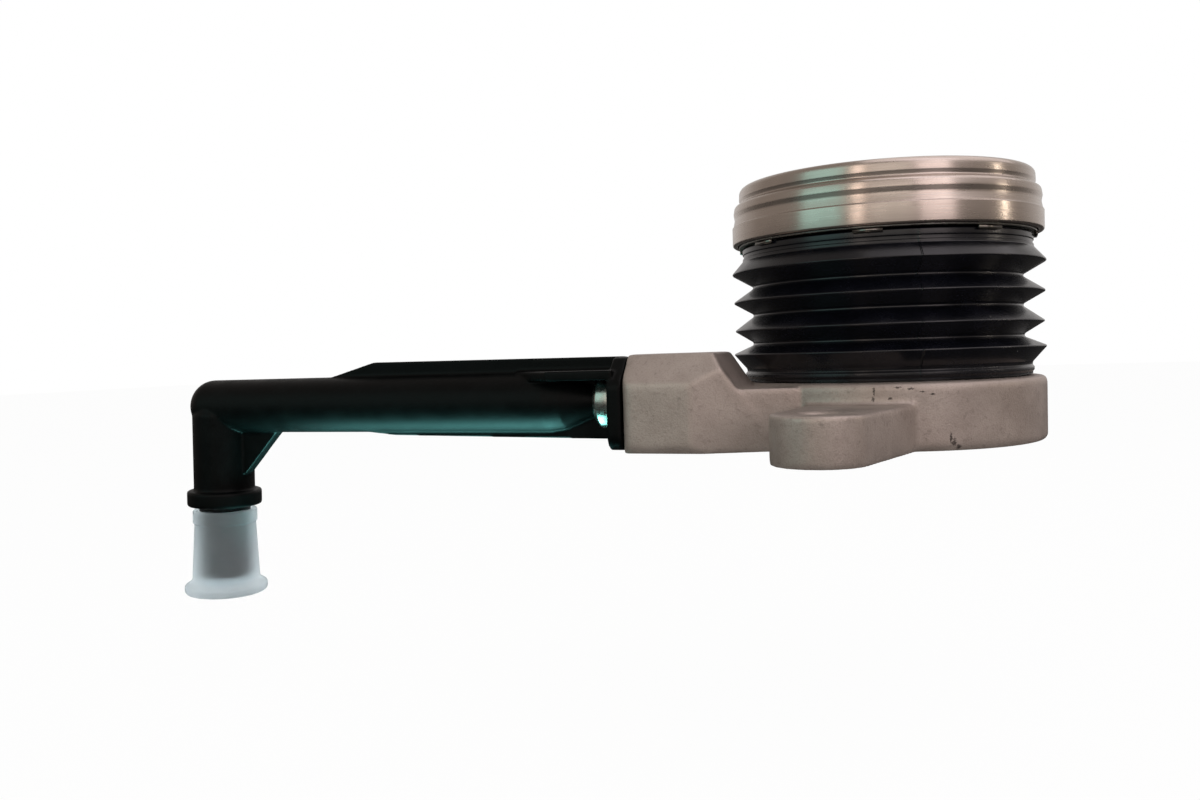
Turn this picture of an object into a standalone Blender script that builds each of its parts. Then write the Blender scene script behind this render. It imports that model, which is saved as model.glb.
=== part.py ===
"""Concentric clutch slave cylinder.

The origin is the centre of the face that is screwed to the gearbox, on the input shaft's axis.
+Z runs along that axis to the release bearing, and the feed pipe leaves along -X.
Named sizes are in millimetres, and the meshes are in metres. The piston is shown fully out.
"""
import math

import bmesh
import bpy
from mathutils import Matrix, Vector

MM = 0.001
GAP = 0.3                      # left between two pieces that touch on the real unit
OUTER_STEPS = 32               # facets round a piece that shows
INNER_STEPS = 18               # facets round a piece inside
PIPE_STEPS = 20
SMALL_SEAL_STEPS = 14          # facets round the pipe's small O-rings
SEAL_SIDES = 6                 # facets round an O-ring's section
TRAVEL = 12.0                  # stroke of the piston, from fully out to fully in

# Casting: the ring that stands on the gearbox
BASE_R = 32.5
BASE_HEIGHT = 13.2
BASE_EDGE_ROUND = 1.3
BASE_FOOT_CHAMFER = 0.4
TROUGH_RIM = 3.9               # metal left outside the trough
TROUGH_R = BASE_R - TROUGH_RIM
TROUGH_FLOOR_Z = 10.6
SPRING_ROOM = 5.5              # width of the trough round the cylinder wall
CYLINDER_WALL = 2.4
CYLINDER_BORE_R = TROUGH_R - SPRING_ROOM - CYLINDER_WALL
CYLINDER_MOUTH_CHAMFER = 0.6
CHAMBER_FLOOR_Z = 5.0

# Casting: the two fixing lugs
LUG_COUNT = 2
LUG_ANGLE = -96.9              # degrees from +X to the lug that faces the viewer
LUG_CENTRE_R = 52.8
LUG_END_R = 8.8
LUG_HEIGHT = 9.0
LUG_ROOT_LEFT = 8.6            # reach of the lug's root to each side of its centre line
LUG_ROOT_RIGHT = 11.8
LUG_EDGE_ROUND = 1.0
LUG_ARC_STEPS = 15
LUG_ARC_DEGREES = 165.0        # the round end turns this far from the left flank
LUG_ROOT_FLARE = 0.8           # where the right flank leaves the ring
LUG_ROOT_DEPTH = 3.0           # how far a lug's root runs into the ring
SCREW_HOLE_R = 3.65
SCREW_HOLE_CHAMFER = 0.7

# Casting: the block that takes the feed pipe
PORT_INSET = 4.5               # from the ring's tangent in to the pipe's axis
PORT_Y = PORT_INSET - BASE_R
PORT_Z = 10.3
BLOCK_REACH = 15.5             # from the ring's tangent out to the block's end face
BLOCK_END_X = -BASE_R - BLOCK_REACH
BLOCK_FRONT_Y = PORT_Y - 10.2
BLOCK_BACK_Y = PORT_Y + 9.7
BLOCK_HEIGHT = 20.0
BLOCK_CORNER_X = BLOCK_END_X + 14.4    # where the front face turns back to the ring
BLOCK_TAIL_X = BLOCK_END_X + 34.0
BLOCK_TAIL_Y = PORT_Y - 2.0
BLOCK_TAIL_HEIGHT = 12.6
BLOCK_SLOPE_TOP_X = BLOCK_END_X + 18.1     # the sloping shoulder beside the bellows
BLOCK_SLOPE_FOOT_X = BLOCK_SLOPE_TOP_X + 5.0
BLOCK_BROW_Z = 14.0            # the front face leans back above this height
BLOCK_BROW_DEPTH = 5.0
BLOCK_END_CHAMFER = 1.2
BLOCK_EDGE_ROUND = 0.7
BLOCK_FOOT_CHAMFER = 1.0
SOCKET_R = 4.9
SOCKET_DEPTH = 12.0
DRILL_R = 1.6
CROSS_DRILL_R = 1.4
DRILL_END_X = BLOCK_END_X + 25.0
CROSS_DRILL_SINK = 1.7         # how far the cross drill runs into the chamber
CROSS_DRILL_END_R = CYLINDER_BORE_R - CROSS_DRILL_SINK
CROSS_DRILL_END_Z = 6.9
CROSS_DRILL_PAST = 0.7         # how far the cross drill starts past the oil way's axis

# Guide sleeve, pressed steel, and its seal
SLEEVE_WALL = 1.1
PISTON_ROOM = 6.1              # between the sleeve and the cylinder's bore
SLEEVE_BORE_R = CYLINDER_BORE_R - PISTON_ROOM - SLEEVE_WALL
SLEEVE_FLANGE_LAP = 1.3        # how far the flange reaches under the cylinder wall
SLEEVE_FLANGE_R = CYLINDER_BORE_R + SLEEVE_FLANGE_LAP
SLEEVE_FLANGE_THICK = 1.4
SLEEVE_RECESS_DEPTH = 2.1
SLEEVE_PAST_STOP = 1.2
SLEEVE_SEAL_INSET = 3.5        # from the flange's edge to the middle of the seal
SLEEVE_SEAL_R = SLEEVE_FLANGE_R - SLEEVE_SEAL_INSET
SLEEVE_SEAL_WIRE_R = 0.75
STOP_RING_THICK = 0.8
STOP_RING_REACH = 1.3          # how far the stop ring stands out of the sleeve
STOP_GROOVE_DEPTH = 0.5

# Piston and its lip seal
PISTON_FOOT_GAP = 0.3
SEAL_HEIGHT = 3.9
SEAL_LIP_HEIGHT = 2.0
SEAL_LIP_THICK = 1.1
PISTON_STEP = 1.7              # the neck is this much smaller than the cylinder's bore
PISTON_NECK_R = CYLINDER_BORE_R - PISTON_STEP
COUNTERBORE_PLAY = 1.7         # room for the stop ring round the sleeve
PISTON_COUNTERBORE_R = SLEEVE_BORE_R + SLEEVE_WALL + COUNTERBORE_PLAY
PISTON_PAST_CLIP = 0.7
CLIP_THICK = 0.8
CLIP_REACH = 1.8
CLIP_GROOVE_DEPTH = 1.2

# Bellows, with its folds as a share of its length, from the foot up
BELLOWS_LENGTH = 28.7
BELLOWS_WALL = 0.8
BELLOWS_FOOT_LAP = 1.2         # the foot rests this far over the trough's rim
BELLOWS_FOOT_R = TROUGH_R + BELLOWS_FOOT_LAP
BELLOWS_FOOT_SHARE = 0.085
BELLOWS_NECK_R = BELLOWS_FOOT_R + 0.4
BELLOWS_NECK_SHARE = 0.905
FOLD_REACHES = ((0.199, 2.85), (0.376, 2.55), (0.592, 2.75), (0.808, 3.2))     # past the foot
FOLD_TIPS = [(share, BELLOWS_FOOT_R + reach) for share, reach in FOLD_REACHES]
FOLD_ROOT_SHARES = (0.275, 0.495, 0.707)
FOLD_ROOT_R = BELLOWS_FOOT_R - 2.1
FOLD_TIP_ROUND = 0.5
BEAD_THICK = 1.1
COLLAR_REACH = 2.8             # how far the bellows' top flange turns in
COLLAR_THICK = 1.0

# Spring
SPRING_INSET = 3.8             # from the trough's wall to the middle of the wire
SPRING_MEAN_R = TROUGH_R - SPRING_INSET
SPRING_WIRE_R = 1.0
SPRING_TURNS = 6
SPRING_CLOSED_PITCH = 1.15     # an end coil's pitch, in wire diameters
SPRING_POINTS_PER_TURN = 14
SPRING_SEAT_THICK = 0.8
CLAMP_RING_THICK = 0.6
CLAMP_RING_HEIGHT = 3.4

# Bearing carrier, wave washer and release bearing
CARRIER_THICK = 1.0
CARRIER_LIP = 0.7              # how far the carrier stands out past the bellows' neck
CARRIER_R = BELLOWS_NECK_R + CARRIER_LIP
CARRIER_TAB_WIDTH = 0.5
CARRIER_TAB_DROP = 0.9
CARRIER_TAB_EVERY = 4
WASHER_SPACE = 1.3
WASHER_THICK = 0.4
WASHER_WAVES = 4
WASHER_INNER_R = PISTON_NECK_R + 0.7
WASHER_OUTER_R = WASHER_INNER_R + 2.9
BALL_COUNT = 14
BALL_R = 2.5
RACE_HEIGHT = 7.2
INNER_RACE_PLAY = 0.6          # lets the bearing find the shaft's centre
INNER_RACE_BORE_R = PISTON_NECK_R + INNER_RACE_PLAY
INNER_RACE_WALL = 3.0
INNER_RACE_R = INNER_RACE_BORE_R + INNER_RACE_WALL
BALL_PATH = 1.8                # from each race's land to the balls' pitch circle
BALL_PITCH_R = INNER_RACE_R + BALL_PATH
OUTER_RACE_BORE_R = BALL_PITCH_R + BALL_PATH
OUTER_RACE_WALL = 2.8
OUTER_RACE_R = OUTER_RACE_BORE_R + OUTER_RACE_WALL
OUTER_RACE_HEIGHT = 8.7
CAGE_HALF_WIDTH = 1.1
CAGE_INNER_R = BALL_PITCH_R - CAGE_HALF_WIDTH
CAGE_OUTER_R = BALL_PITCH_R + CAGE_HALF_WIDTH
CAGE_MARGIN = 0.8              # cage material above and below the ball pockets
POCKET_PLAY = 1.06             # the pockets' facets are cut this much wider
RACE_EDGE = 0.8
TRACK_STEPS = 6
SHIELD_THICK = 0.7
SHIELD_PLAY = 1.0              # between the shield and the inner race
SHIELD_INNER_R = INNER_RACE_R + SHIELD_PLAY

# Cover, pressed sheet steel
COVER_WALL = 1.1
COVER_BAND_REACH = 3.3         # the band stands out this far past the outer race
COVER_BAND_R = OUTER_RACE_R + COVER_BAND_REACH
COVER_BAND_HEIGHT = 3.9
COVER_SKIRT_DROP = 2.6         # how far the band hangs below the outer race
COVER_ROLL_R = COVER_BAND_R - 0.35
COVER_ROLL_HEIGHT = 2.7
COVER_CREASE_R = OUTER_RACE_R + 1.35
COVER_ROLL_ROUND = 1.4
COVER_CREASE_DROP = 3.6
COVER_BROW_R = COVER_CREASE_R + 0.35
COVER_TOP_ROUND = 1.9
COVER_MOUTH_ROUND = 1.3
COVER_STEP = 0.2               # the small step where the band meets the lower roll
COVER_MOUTH_PLAY = 2.6         # between the cover's mouth and the piston's neck
COVER_MOUTH_R = PISTON_NECK_R + COVER_MOUTH_PLAY
COVER_LIP_DROP = 1.7

# Feed pipe, one black moulding
PIPE_R = 6.5
PIPE_DOME_LENGTH = 5.7
PIPE_DOME_STEPS = 5
PIPE_END_REACH = 2.0           # how far the dome starts past the leg's axis
PIPE_BORE_R = 2.2
LEG_BORE_PAST = 1.3            # how far the leg's bore runs past the barrel's axis
PIPE_NECK_R = 3.2
PIPE_NECK_X = BLOCK_END_X - 8.6
PIPE_CONE_X = BLOCK_END_X - 19.5
PIPE_PLUG_R = 4.5
PIPE_PLUG_LENGTH = 11.2
PIPE_PLUG_CHAMFER = 0.8
JOIN_DEPTH = 1.0               # how far the pipe's ribs and neck run into its flange
PIPE_FLANGE_THICK = 3.0
PIPE_FLANGE_MARGIN = 0.5       # the end flange is this much smaller than the block, all round
PIPE_FLANGE_ROUND = 3.0
LEG_X = -157.0
LEG_LEAN = 2.0                 # degrees that the leg's foot swings outward from square
LEG_R = 7.2
LEG_FOOT_Z = -10.5
LEG_SHOULDER_Z = (8.3, 13.3)   # the leg narrows between these heights, inside the barrel
LEG_TOP_R = 5.0
COLLAR_R = 8.8
COLLAR_EDGE = 0.4
PIPE_COLLAR_HEIGHT = 3.8
SPIGOT_R = 6.05
SPIGOT_LENGTH = 18.0
SPIGOT_CHAMFER = 0.8
FIN_THICK = 2.2
FIN_ROOT_SINK = 0.3            # how deep a fin's thin end starts in the barrel
TOP_FIN_FAR_Z = 20.0
TOP_FIN_NEAR_Z = 19.7
TOP_FIN_START_X = -125.0
TOP_FIN_FULL_X = -112.0
LOW_FIN_FAR_Z = 3.1
LOW_FIN_NEAR_Z = 2.2
LOW_FIN_START_X = -116.0
LOW_FIN_FULL_X = -107.0
LEDGE_THICK = 2.0
LEDGE_Z = 17.0
LEDGE_START_X = BLOCK_END_X - 27.0
LEDGE_WIDTH = 9.0
LEDGE_POINT_WIDTH = 2.0        # half its width where it starts
LEDGE_TAPER = 10.0             # length over which it widens
GUSSET_REACH_X = -139.8
GUSSET_FOOT_Z = -6.3
GUSSET_THICK = 3.0

# Seals and ring on the pipe
O_RING_WIRE_R = 0.6
O_RING_GROOVE_FLOOR = 1.5
PORT_SEAL_INSET = 3.2          # from the block's end face to the middle of the seal
SPIGOT_SEAL_DROP = 10.5        # from the pipe collar to the middle of the seal
FERRULE_R = 5.7
FERRULE_LENGTH = 4.6
FERRULE_SEAT_DEPTH = 0.2
FERRULE_NOSE_R = 5.0
FERRULE_SHOULDER = 0.2         # share of its length at which the ring is full size

# Dust cap, soft polythene
CAP_WALL = 0.85
CAP_TOP_GAP = 1.1              # between the pipe collar and the cap's rim
CAP_LENGTH = 20.8
CAP_TAPER = 0.8
CAP_FOOT_R = 9.8
CAP_FOOT_THICK = 2.0
CAP_FLARE_HEIGHT = 1.2
CAP_END_THICK = 1.8
CAP_RIM_HEIGHT = 3.2
CAP_RIM_REACH = 0.4

# Heights and radii that follow from the sizes above
TROUGH_INNER_R = CYLINDER_BORE_R + CYLINDER_WALL
SLEEVE_R = SLEEVE_BORE_R + SLEEVE_WALL
BELLOWS_FOOT_Z = BASE_HEIGHT + GAP
BELLOWS_TOP_Z = BELLOWS_FOOT_Z + BELLOWS_LENGTH
CARRIER_Z = BELLOWS_TOP_Z + GAP
CARRIER_TOP_Z = CARRIER_Z + CARRIER_THICK
RACE_Z = CARRIER_TOP_Z + WASHER_SPACE + 2 * GAP
RACE_TOP_Z = RACE_Z + RACE_HEIGHT
BALL_Z = RACE_Z + RACE_HEIGHT / 2
OUTER_RACE_TOP_Z = RACE_Z + OUTER_RACE_HEIGHT
COVER_UNDERSIDE_Z = OUTER_RACE_TOP_Z + GAP
COVER_TOP_Z = COVER_UNDERSIDE_Z + COVER_WALL
COVER_BOTTOM_Z = RACE_Z - COVER_SKIRT_DROP
SEAL_Z = CHAMBER_FLOOR_Z + GAP + TRAVEL
PISTON_FOOT_Z = SEAL_Z + SEAL_HEIGHT + PISTON_FOOT_GAP
PISTON_SHOULDER_Z = CARRIER_Z - GAP
CLIP_Z = RACE_TOP_Z + GAP
PISTON_TOP_Z = CLIP_Z + CLIP_THICK + PISTON_PAST_CLIP
CYLINDER_TOP_Z = PISTON_SHOULDER_Z - TRAVEL - GAP
STOP_RING_Z = PISTON_SHOULDER_Z + 2 * GAP
SLEEVE_TOP_Z = STOP_RING_Z + STOP_RING_THICK + SLEEVE_PAST_STOP
SPRING_SEAT_Z = TROUGH_FLOOR_Z + GAP
SPRING_FOOT_Z = SPRING_SEAT_Z + SPRING_SEAT_THICK + GAP
SPRING_HEAD_Z = CARRIER_Z - GAP
BEAD_R = TROUGH_R - GAP
BEAD_Z = SPRING_FOOT_Z           # the bead reaches down to the spring seat
FLANGE_RIGHT_X = BLOCK_END_X - GAP
FLANGE_LEFT_X = FLANGE_RIGHT_X - PIPE_FLANGE_THICK
FERRULE_X = FLANGE_LEFT_X - GAP - FERRULE_LENGTH
PIPE_COLLAR_FOOT_Z = LEG_FOOT_Z - PIPE_COLLAR_HEIGHT
SPIGOT_END_Z = PIPE_COLLAR_FOOT_Z - SPIGOT_LENGTH
CAP_TOP_Z = PIPE_COLLAR_FOOT_Z - CAP_TOP_GAP
CAP_FOOT_Z = CAP_TOP_Z - CAP_LENGTH
CAP_BORE_R = SPIGOT_R + GAP

AXIS_X = Matrix.Rotation(math.radians(90), 4, 'Y')
ELBOW = (LEG_X, PORT_Y, PORT_Z)
LEG_PLACE = (
    Matrix.Translation(ELBOW) @ Matrix.Rotation(math.radians(LEG_LEAN), 4, 'Y')
    @ Matrix.Translation((0, 0, -PORT_Z)))


def clear_scene():
    """Remove what the open file holds, so that the part stands alone."""
    for item in list(bpy.data.objects):
        bpy.data.objects.remove(item, do_unlink=True)


def make_material(name, colour, roughness, metallic=0.0):
    """A Principled material with a colour, a roughness and a metallic value."""
    material = bpy.data.materials.new(name)
    material.use_nodes = True
    shader = material.node_tree.nodes["Principled BSDF"]
    shader.inputs["Base Color"].default_value = (*colour, 1.0)
    shader.inputs["Roughness"].default_value = roughness
    shader.inputs["Metallic"].default_value = metallic
    material.diffuse_color = (*colour, 1.0)
    return material


def add_object(name, bm, material=None):
    """Turn a bmesh in millimetres into an object in metres, shaded smooth up to 35 degrees."""
    bmesh.ops.recalc_face_normals(bm, faces=bm.faces)
    if bm.calc_volume(signed=True) < 0:
        bmesh.ops.reverse_faces(bm, faces=bm.faces)
    bm.transform(Matrix.Scale(MM, 4))
    mesh = bpy.data.meshes.new(name)
    bm.to_mesh(mesh)
    bm.free()
    item = bpy.data.objects.new(name, mesh)
    bpy.context.scene.collection.objects.link(item)
    if material:
        mesh.materials.append(material)
    return item


def shade(item):
    """Smooth shading with the real edges kept sharp."""
    item.data.shade_smooth()
    item.data.set_sharp_from_angle(angle=math.radians(35))


def bake_modifiers(item):
    """Replace an object's mesh by the one its modifiers give."""
    bpy.context.view_layer.update()
    graph = bpy.context.evaluated_depsgraph_get()
    mesh = bpy.data.meshes.new_from_object(item.evaluated_get(graph))
    item.modifiers.clear()
    item.data = mesh


def merge_shells(tools):
    """Put tools that don't touch one another into one object, and delete the rest."""
    bm = bmesh.new()
    for tool in tools:
        bm.from_mesh(tool.data)
    bm.to_mesh(tools[0].data)
    bm.free()
    for tool in tools[1:]:
        bpy.data.objects.remove(tool, do_unlink=True)
    return tools[0]


def combine(item, tools, operation):
    """Join or cut an object with each tool in turn, and delete the tools."""
    for tool in tools:
        modifier = item.modifiers.new(tool.name, 'BOOLEAN')
        modifier.operation = operation
        modifier.solver = 'EXACT'
        modifier.object = tool
        bake_modifiers(item)
        bpy.data.objects.remove(tool, do_unlink=True)


def round_edges(item, width, steps=2, angle=30):
    """Bevel every edge that is sharper than the angle."""
    modifier = item.modifiers.new("edges", 'BEVEL')
    modifier.width = width * MM
    modifier.segments = steps
    modifier.limit_method = 'ANGLE'
    modifier.angle_limit = math.radians(angle)
    bake_modifiers(item)


def fillet(corners, steps=3):
    """Corner points (r, z, round) to a closed outline, with an arc at each rounded corner."""
    outline = []
    for i, (r, z, radius) in enumerate(corners):
        here = Vector((r, z))
        if radius <= 0:
            outline.append((r, z))
            continue
        before = Vector(corners[i - 1][:2]) - here
        after = Vector(corners[(i + 1) % len(corners)][:2]) - here
        half = before.angle(after) / 2
        reach = min(radius / math.tan(half), 0.48 * before.length, 0.48 * after.length)
        start = here + before.normalized() * reach
        end = here + after.normalized() * reach
        for k in range(steps + 1):
            t = k / steps
            point = start * (1 - t) ** 2 + here * 2 * t * (1 - t) + end * t ** 2
            outline.append((point.x, point.y))
    return outline


def revolve(name, outline, material=None, steps=OUTER_STEPS, place=None):
    """Spin a closed (r, z) outline round Z. Points on the axis close the solid there."""
    bm = bmesh.new()
    verts = [bm.verts.new((r, 0, z)) for r, z in outline]
    count = len(verts)
    edges = []
    for i in range(count):
        on_axis = outline[i][0] == 0 and outline[(i + 1) % count][0] == 0
        if not on_axis:
            edges.append(bm.edges.new((verts[i], verts[(i + 1) % count])))
    bmesh.ops.spin(
        bm, geom=verts + edges, cent=(0, 0, 0), axis=(0, 0, 1),
        angle=math.tau, steps=steps, use_merge=True)
    bmesh.ops.remove_doubles(bm, verts=bm.verts, dist=0.001)
    if place:
        bm.transform(place)
    item = add_object(name, bm, material)
    shade(item)
    return item


def prism(name, outline, low, high, material=None, place=None):
    """Extrude a closed (x, y) outline from one height to another."""
    bm = bmesh.new()
    verts = [bm.verts.new((x, y, low)) for x, y in outline]
    face = bm.faces.new(verts)
    top = bmesh.ops.extrude_face_region(bm, geom=[face])["geom"]
    moved = [v for v in top if isinstance(v, bmesh.types.BMVert)]
    bmesh.ops.translate(bm, verts=moved, vec=(0, 0, high - low))
    if place:
        bm.transform(place)
    return add_object(name, bm, material)


def drill(name, start, end, radius, steps=12):
    """A round rod between two points, for a drilled hole."""
    start, end = Vector(start), Vector(end)
    way = end - start
    turn = way.to_track_quat('Z', 'Y').to_matrix().to_4x4()
    outline = [(0, 0), (radius, 0), (radius, way.length), (0, way.length)]
    return revolve(name, outline, steps=steps, place=Matrix.Translation(start) @ turn)


def slice_off(bm, point, normal):
    """Cut away what lies past a plane, and close the cut."""
    geom = bm.verts[:] + bm.edges[:] + bm.faces[:]
    result = bmesh.ops.bisect_plane(
        bm, geom=geom, dist=0.0001, plane_co=point, plane_no=normal, clear_outer=True)
    rim = [e for e in result["geom_cut"] if isinstance(e, bmesh.types.BMEdge)]
    bmesh.ops.contextual_create(bm, geom=rim)


def ring_outline(inner, outer, low, high):
    """The rectangular section of a plain ring."""
    return [(inner, low), (outer, low), (outer, high), (inner, high)]


def o_ring(name, radius, wire, height, material, steps=INNER_STEPS, place=None):
    """A round-section seal."""
    outline = []
    for k in range(SEAL_SIDES):
        turn = math.tau * k / SEAL_SIDES
        outline.append((radius + wire * math.cos(turn), height + wire * math.sin(turn)))
    return revolve(name, outline, material, steps, place)


def casting_ring():
    """The turned form of the casting: foot, outer wall, spring trough, cylinder and floor."""
    neck = SLEEVE_R + GAP
    seal_in = SLEEVE_SEAL_R - SLEEVE_SEAL_WIRE_R - GAP
    seal_out = SLEEVE_SEAL_R + SLEEVE_SEAL_WIRE_R + GAP
    seal_top = SLEEVE_RECESS_DEPTH + 2 * SLEEVE_SEAL_WIRE_R
    recess = SLEEVE_FLANGE_R + GAP
    corners = [
        (recess, 0, 0),
        (BASE_R - BASE_FOOT_CHAMFER, 0, 0),
        (BASE_R, BASE_FOOT_CHAMFER, 0),
        (BASE_R, BASE_HEIGHT, BASE_EDGE_ROUND),
        (TROUGH_R, BASE_HEIGHT, 0),
        (TROUGH_R, TROUGH_FLOOR_Z, 0),
        (TROUGH_INNER_R, TROUGH_FLOOR_Z, 0),
        (TROUGH_INNER_R, CYLINDER_TOP_Z - CYLINDER_MOUTH_CHAMFER, 0),
        (TROUGH_INNER_R - CYLINDER_MOUTH_CHAMFER, CYLINDER_TOP_Z, 0),
        (CYLINDER_BORE_R + CYLINDER_MOUTH_CHAMFER, CYLINDER_TOP_Z, 0),
        (CYLINDER_BORE_R, CYLINDER_TOP_Z - CYLINDER_MOUTH_CHAMFER, 0),
        (CYLINDER_BORE_R, CHAMBER_FLOOR_Z, 0),
        (neck, CHAMBER_FLOOR_Z, 0),
        (neck, SLEEVE_RECESS_DEPTH, 0),
        (seal_in, SLEEVE_RECESS_DEPTH, 0),
        (seal_in, seal_top, 0),
        (seal_out, seal_top, 0),
        (seal_out, SLEEVE_RECESS_DEPTH, 0),
        (recess, SLEEVE_RECESS_DEPTH, 0)]
    return revolve("housing", fillet(corners))


def casting_lug(angle):
    """One fixing lug: a round end run into the ring, with a bolt face on top."""
    rim = math.sqrt(BASE_R ** 2 - LUG_ROOT_RIGHT ** 2)
    root = rim - LUG_ROOT_DEPTH
    end = LUG_CENTRE_R
    outline = [(root, -LUG_ROOT_LEFT), (end, -LUG_END_R)]
    for k in range(1, LUG_ARC_STEPS):
        turn = math.radians(-90 + LUG_ARC_DEGREES * k / (LUG_ARC_STEPS - 1))
        outline.append((end + LUG_END_R * math.cos(turn), LUG_END_R * math.sin(turn)))
    outline += [(rim + LUG_ROOT_FLARE, LUG_ROOT_RIGHT), (root, LUG_ROOT_RIGHT)]
    place = Matrix.Rotation(math.radians(angle), 4, 'Z')
    lug = prism("lug", outline, 0, LUG_HEIGHT, place=place)
    for edge in lug.data.edges:
        high = all(lug.data.vertices[v].co.z > 0.5 * LUG_HEIGHT * MM for v in edge.vertices)
        edge.use_edge_sharp = high
    modifier = lug.modifiers.new("top edge", 'BEVEL')
    modifier.width = LUG_EDGE_ROUND * MM
    modifier.segments = 2
    modifier.limit_method = 'WEIGHT'
    weight = lug.data.attributes.new("bevel_weight_edge", 'FLOAT', 'EDGE')
    for index, edge in enumerate(lug.data.edges):
        weight.data[index].value = 1.0 if edge.use_edge_sharp else 0.0
    bake_modifiers(lug)
    return lug


def screw_hole(angle):
    """A cutter for a lug's screw hole, chamfered at both ends."""
    wide = SCREW_HOLE_R + SCREW_HOLE_CHAMFER
    over = 1.0
    outline = [
        (0, -over), (wide + over, -over), (SCREW_HOLE_R, SCREW_HOLE_CHAMFER),
        (SCREW_HOLE_R, LUG_HEIGHT - SCREW_HOLE_CHAMFER), (wide + over, LUG_HEIGHT + over),
        (0, LUG_HEIGHT + over)]
    turn = Matrix.Rotation(math.radians(angle), 4, 'Z')
    return revolve("screw hole", outline, steps=24, place=turn @ Matrix.Translation((LUG_CENTRE_R, 0, 0)))


def casting_block():
    """The port block: a box cut back by its slopes, then its low tail that runs into the ring."""
    bm = bmesh.new()
    low = Vector((BLOCK_END_X, BLOCK_FRONT_Y, 0))
    high = Vector((BLOCK_TAIL_X, BLOCK_BACK_Y, BLOCK_HEIGHT))
    bmesh.ops.create_cube(bm, size=1)
    for vert in bm.verts:
        vert.co = [low[k] if vert.co[k] < 0 else high[k] for k in range(3)]
    slope = Vector((BLOCK_HEIGHT - BLOCK_TAIL_HEIGHT, 0, BLOCK_SLOPE_FOOT_X - BLOCK_SLOPE_TOP_X))
    slice_off(bm, (BLOCK_SLOPE_TOP_X, 0, BLOCK_HEIGHT), slope)
    side = Vector((BLOCK_TAIL_Y - BLOCK_FRONT_Y, BLOCK_CORNER_X - BLOCK_TAIL_X, 0))
    slice_off(bm, (BLOCK_CORNER_X, BLOCK_FRONT_Y, 0), side)
    brow = Vector((0, BLOCK_BROW_Z - BLOCK_HEIGHT, BLOCK_BROW_DEPTH))
    slice_off(bm, (0, BLOCK_FRONT_Y, BLOCK_BROW_Z), brow)
    slice_off(bm, (0, BLOCK_FRONT_Y + BLOCK_FOOT_CHAMFER, 0), (0, -1, -1))
    slice_off(bm, (BLOCK_END_X, BLOCK_FRONT_Y + BLOCK_END_CHAMFER, 0), (-1, -1, 0))
    block = add_object("block", bm)
    round_edges(block, BLOCK_EDGE_ROUND)
    tail = [
        (BLOCK_CORNER_X, BLOCK_BACK_Y), (BLOCK_CORNER_X, BLOCK_FRONT_Y + BLOCK_EDGE_ROUND),
        (BLOCK_TAIL_X, BLOCK_TAIL_Y), (BLOCK_TAIL_X, BLOCK_BACK_Y)]
    low_tail = prism("tail", tail, BLOCK_FOOT_CHAMFER, BLOCK_TAIL_HEIGHT)
    combine(block, [low_tail], 'UNION')
    trough = [
        (0, TROUGH_FLOOR_Z), (TROUGH_R, TROUGH_FLOOR_Z), (TROUGH_R, BLOCK_HEIGHT + 1),
        (0, BLOCK_HEIGHT + 1)]
    combine(block, [revolve("trough room", trough)], 'DIFFERENCE')
    return block


def port_drillings():
    """Cutters for the pipe socket and for the oil way from it to the annular chamber."""
    foot = Vector((DRILL_END_X, PORT_Y, PORT_Z))
    inward = Vector((DRILL_END_X, PORT_Y, 0)).normalized()
    chamber = inward * CROSS_DRILL_END_R
    chamber.z = CROSS_DRILL_END_Z
    way_end = (DRILL_END_X + DRILL_R, PORT_Y, PORT_Z)
    socket = drill(
        "socket", (BLOCK_END_X - 1, PORT_Y, PORT_Z),
        (BLOCK_END_X + SOCKET_DEPTH, PORT_Y, PORT_Z), SOCKET_R, PIPE_STEPS)
    way = drill("oil way", (BLOCK_END_X + SOCKET_DEPTH - 1, PORT_Y, PORT_Z), way_end, DRILL_R, 8)
    cross = drill("cross way", foot + (foot - chamber).normalized() * CROSS_DRILL_PAST, chamber, CROSS_DRILL_R, 8)
    combine(socket, [way, cross], 'UNION')
    return socket


def make_housing(aluminium):
    """One die casting: ring, lugs and port block, then the machined holes."""
    housing = casting_ring()
    angles = [LUG_ANGLE + 360 / LUG_COUNT * k for k in range(LUG_COUNT)]
    combine(housing, [casting_block()] + [casting_lug(angle) for angle in angles], 'UNION')
    combine(housing, [merge_shells([screw_hole(angle) for angle in angles] + [port_drillings()])], 'DIFFERENCE')
    housing.data.materials.clear()
    housing.data.materials.append(aluminium)
    shade(housing)
    return housing


def make_sleeve(steel):
    """The flanged tube that the piston slides on, with the stop ring's groove."""
    groove_r = SLEEVE_R - STOP_GROOVE_DEPTH
    low = SLEEVE_RECESS_DEPTH - GAP - SLEEVE_FLANGE_THICK
    corners = [
        (SLEEVE_BORE_R, low, 0), (SLEEVE_FLANGE_R, low, 0),
        (SLEEVE_FLANGE_R, low + SLEEVE_FLANGE_THICK, 0), (SLEEVE_R, low + SLEEVE_FLANGE_THICK, 0),
        (SLEEVE_R, STOP_RING_Z - GAP, 0), (groove_r, STOP_RING_Z - GAP, 0),
        (groove_r, STOP_RING_Z + STOP_RING_THICK + GAP, 0),
        (SLEEVE_R, STOP_RING_Z + STOP_RING_THICK + GAP, 0),
        (SLEEVE_R, SLEEVE_TOP_Z, 0), (SLEEVE_BORE_R, SLEEVE_TOP_Z, 0)]
    revolve("guide_sleeve", fillet(corners), steel, INNER_STEPS)
    ring = ring_outline(groove_r + GAP, SLEEVE_R + STOP_RING_REACH, STOP_RING_Z, STOP_RING_Z + STOP_RING_THICK)
    revolve("stop_ring", ring, steel, INNER_STEPS)


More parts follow.
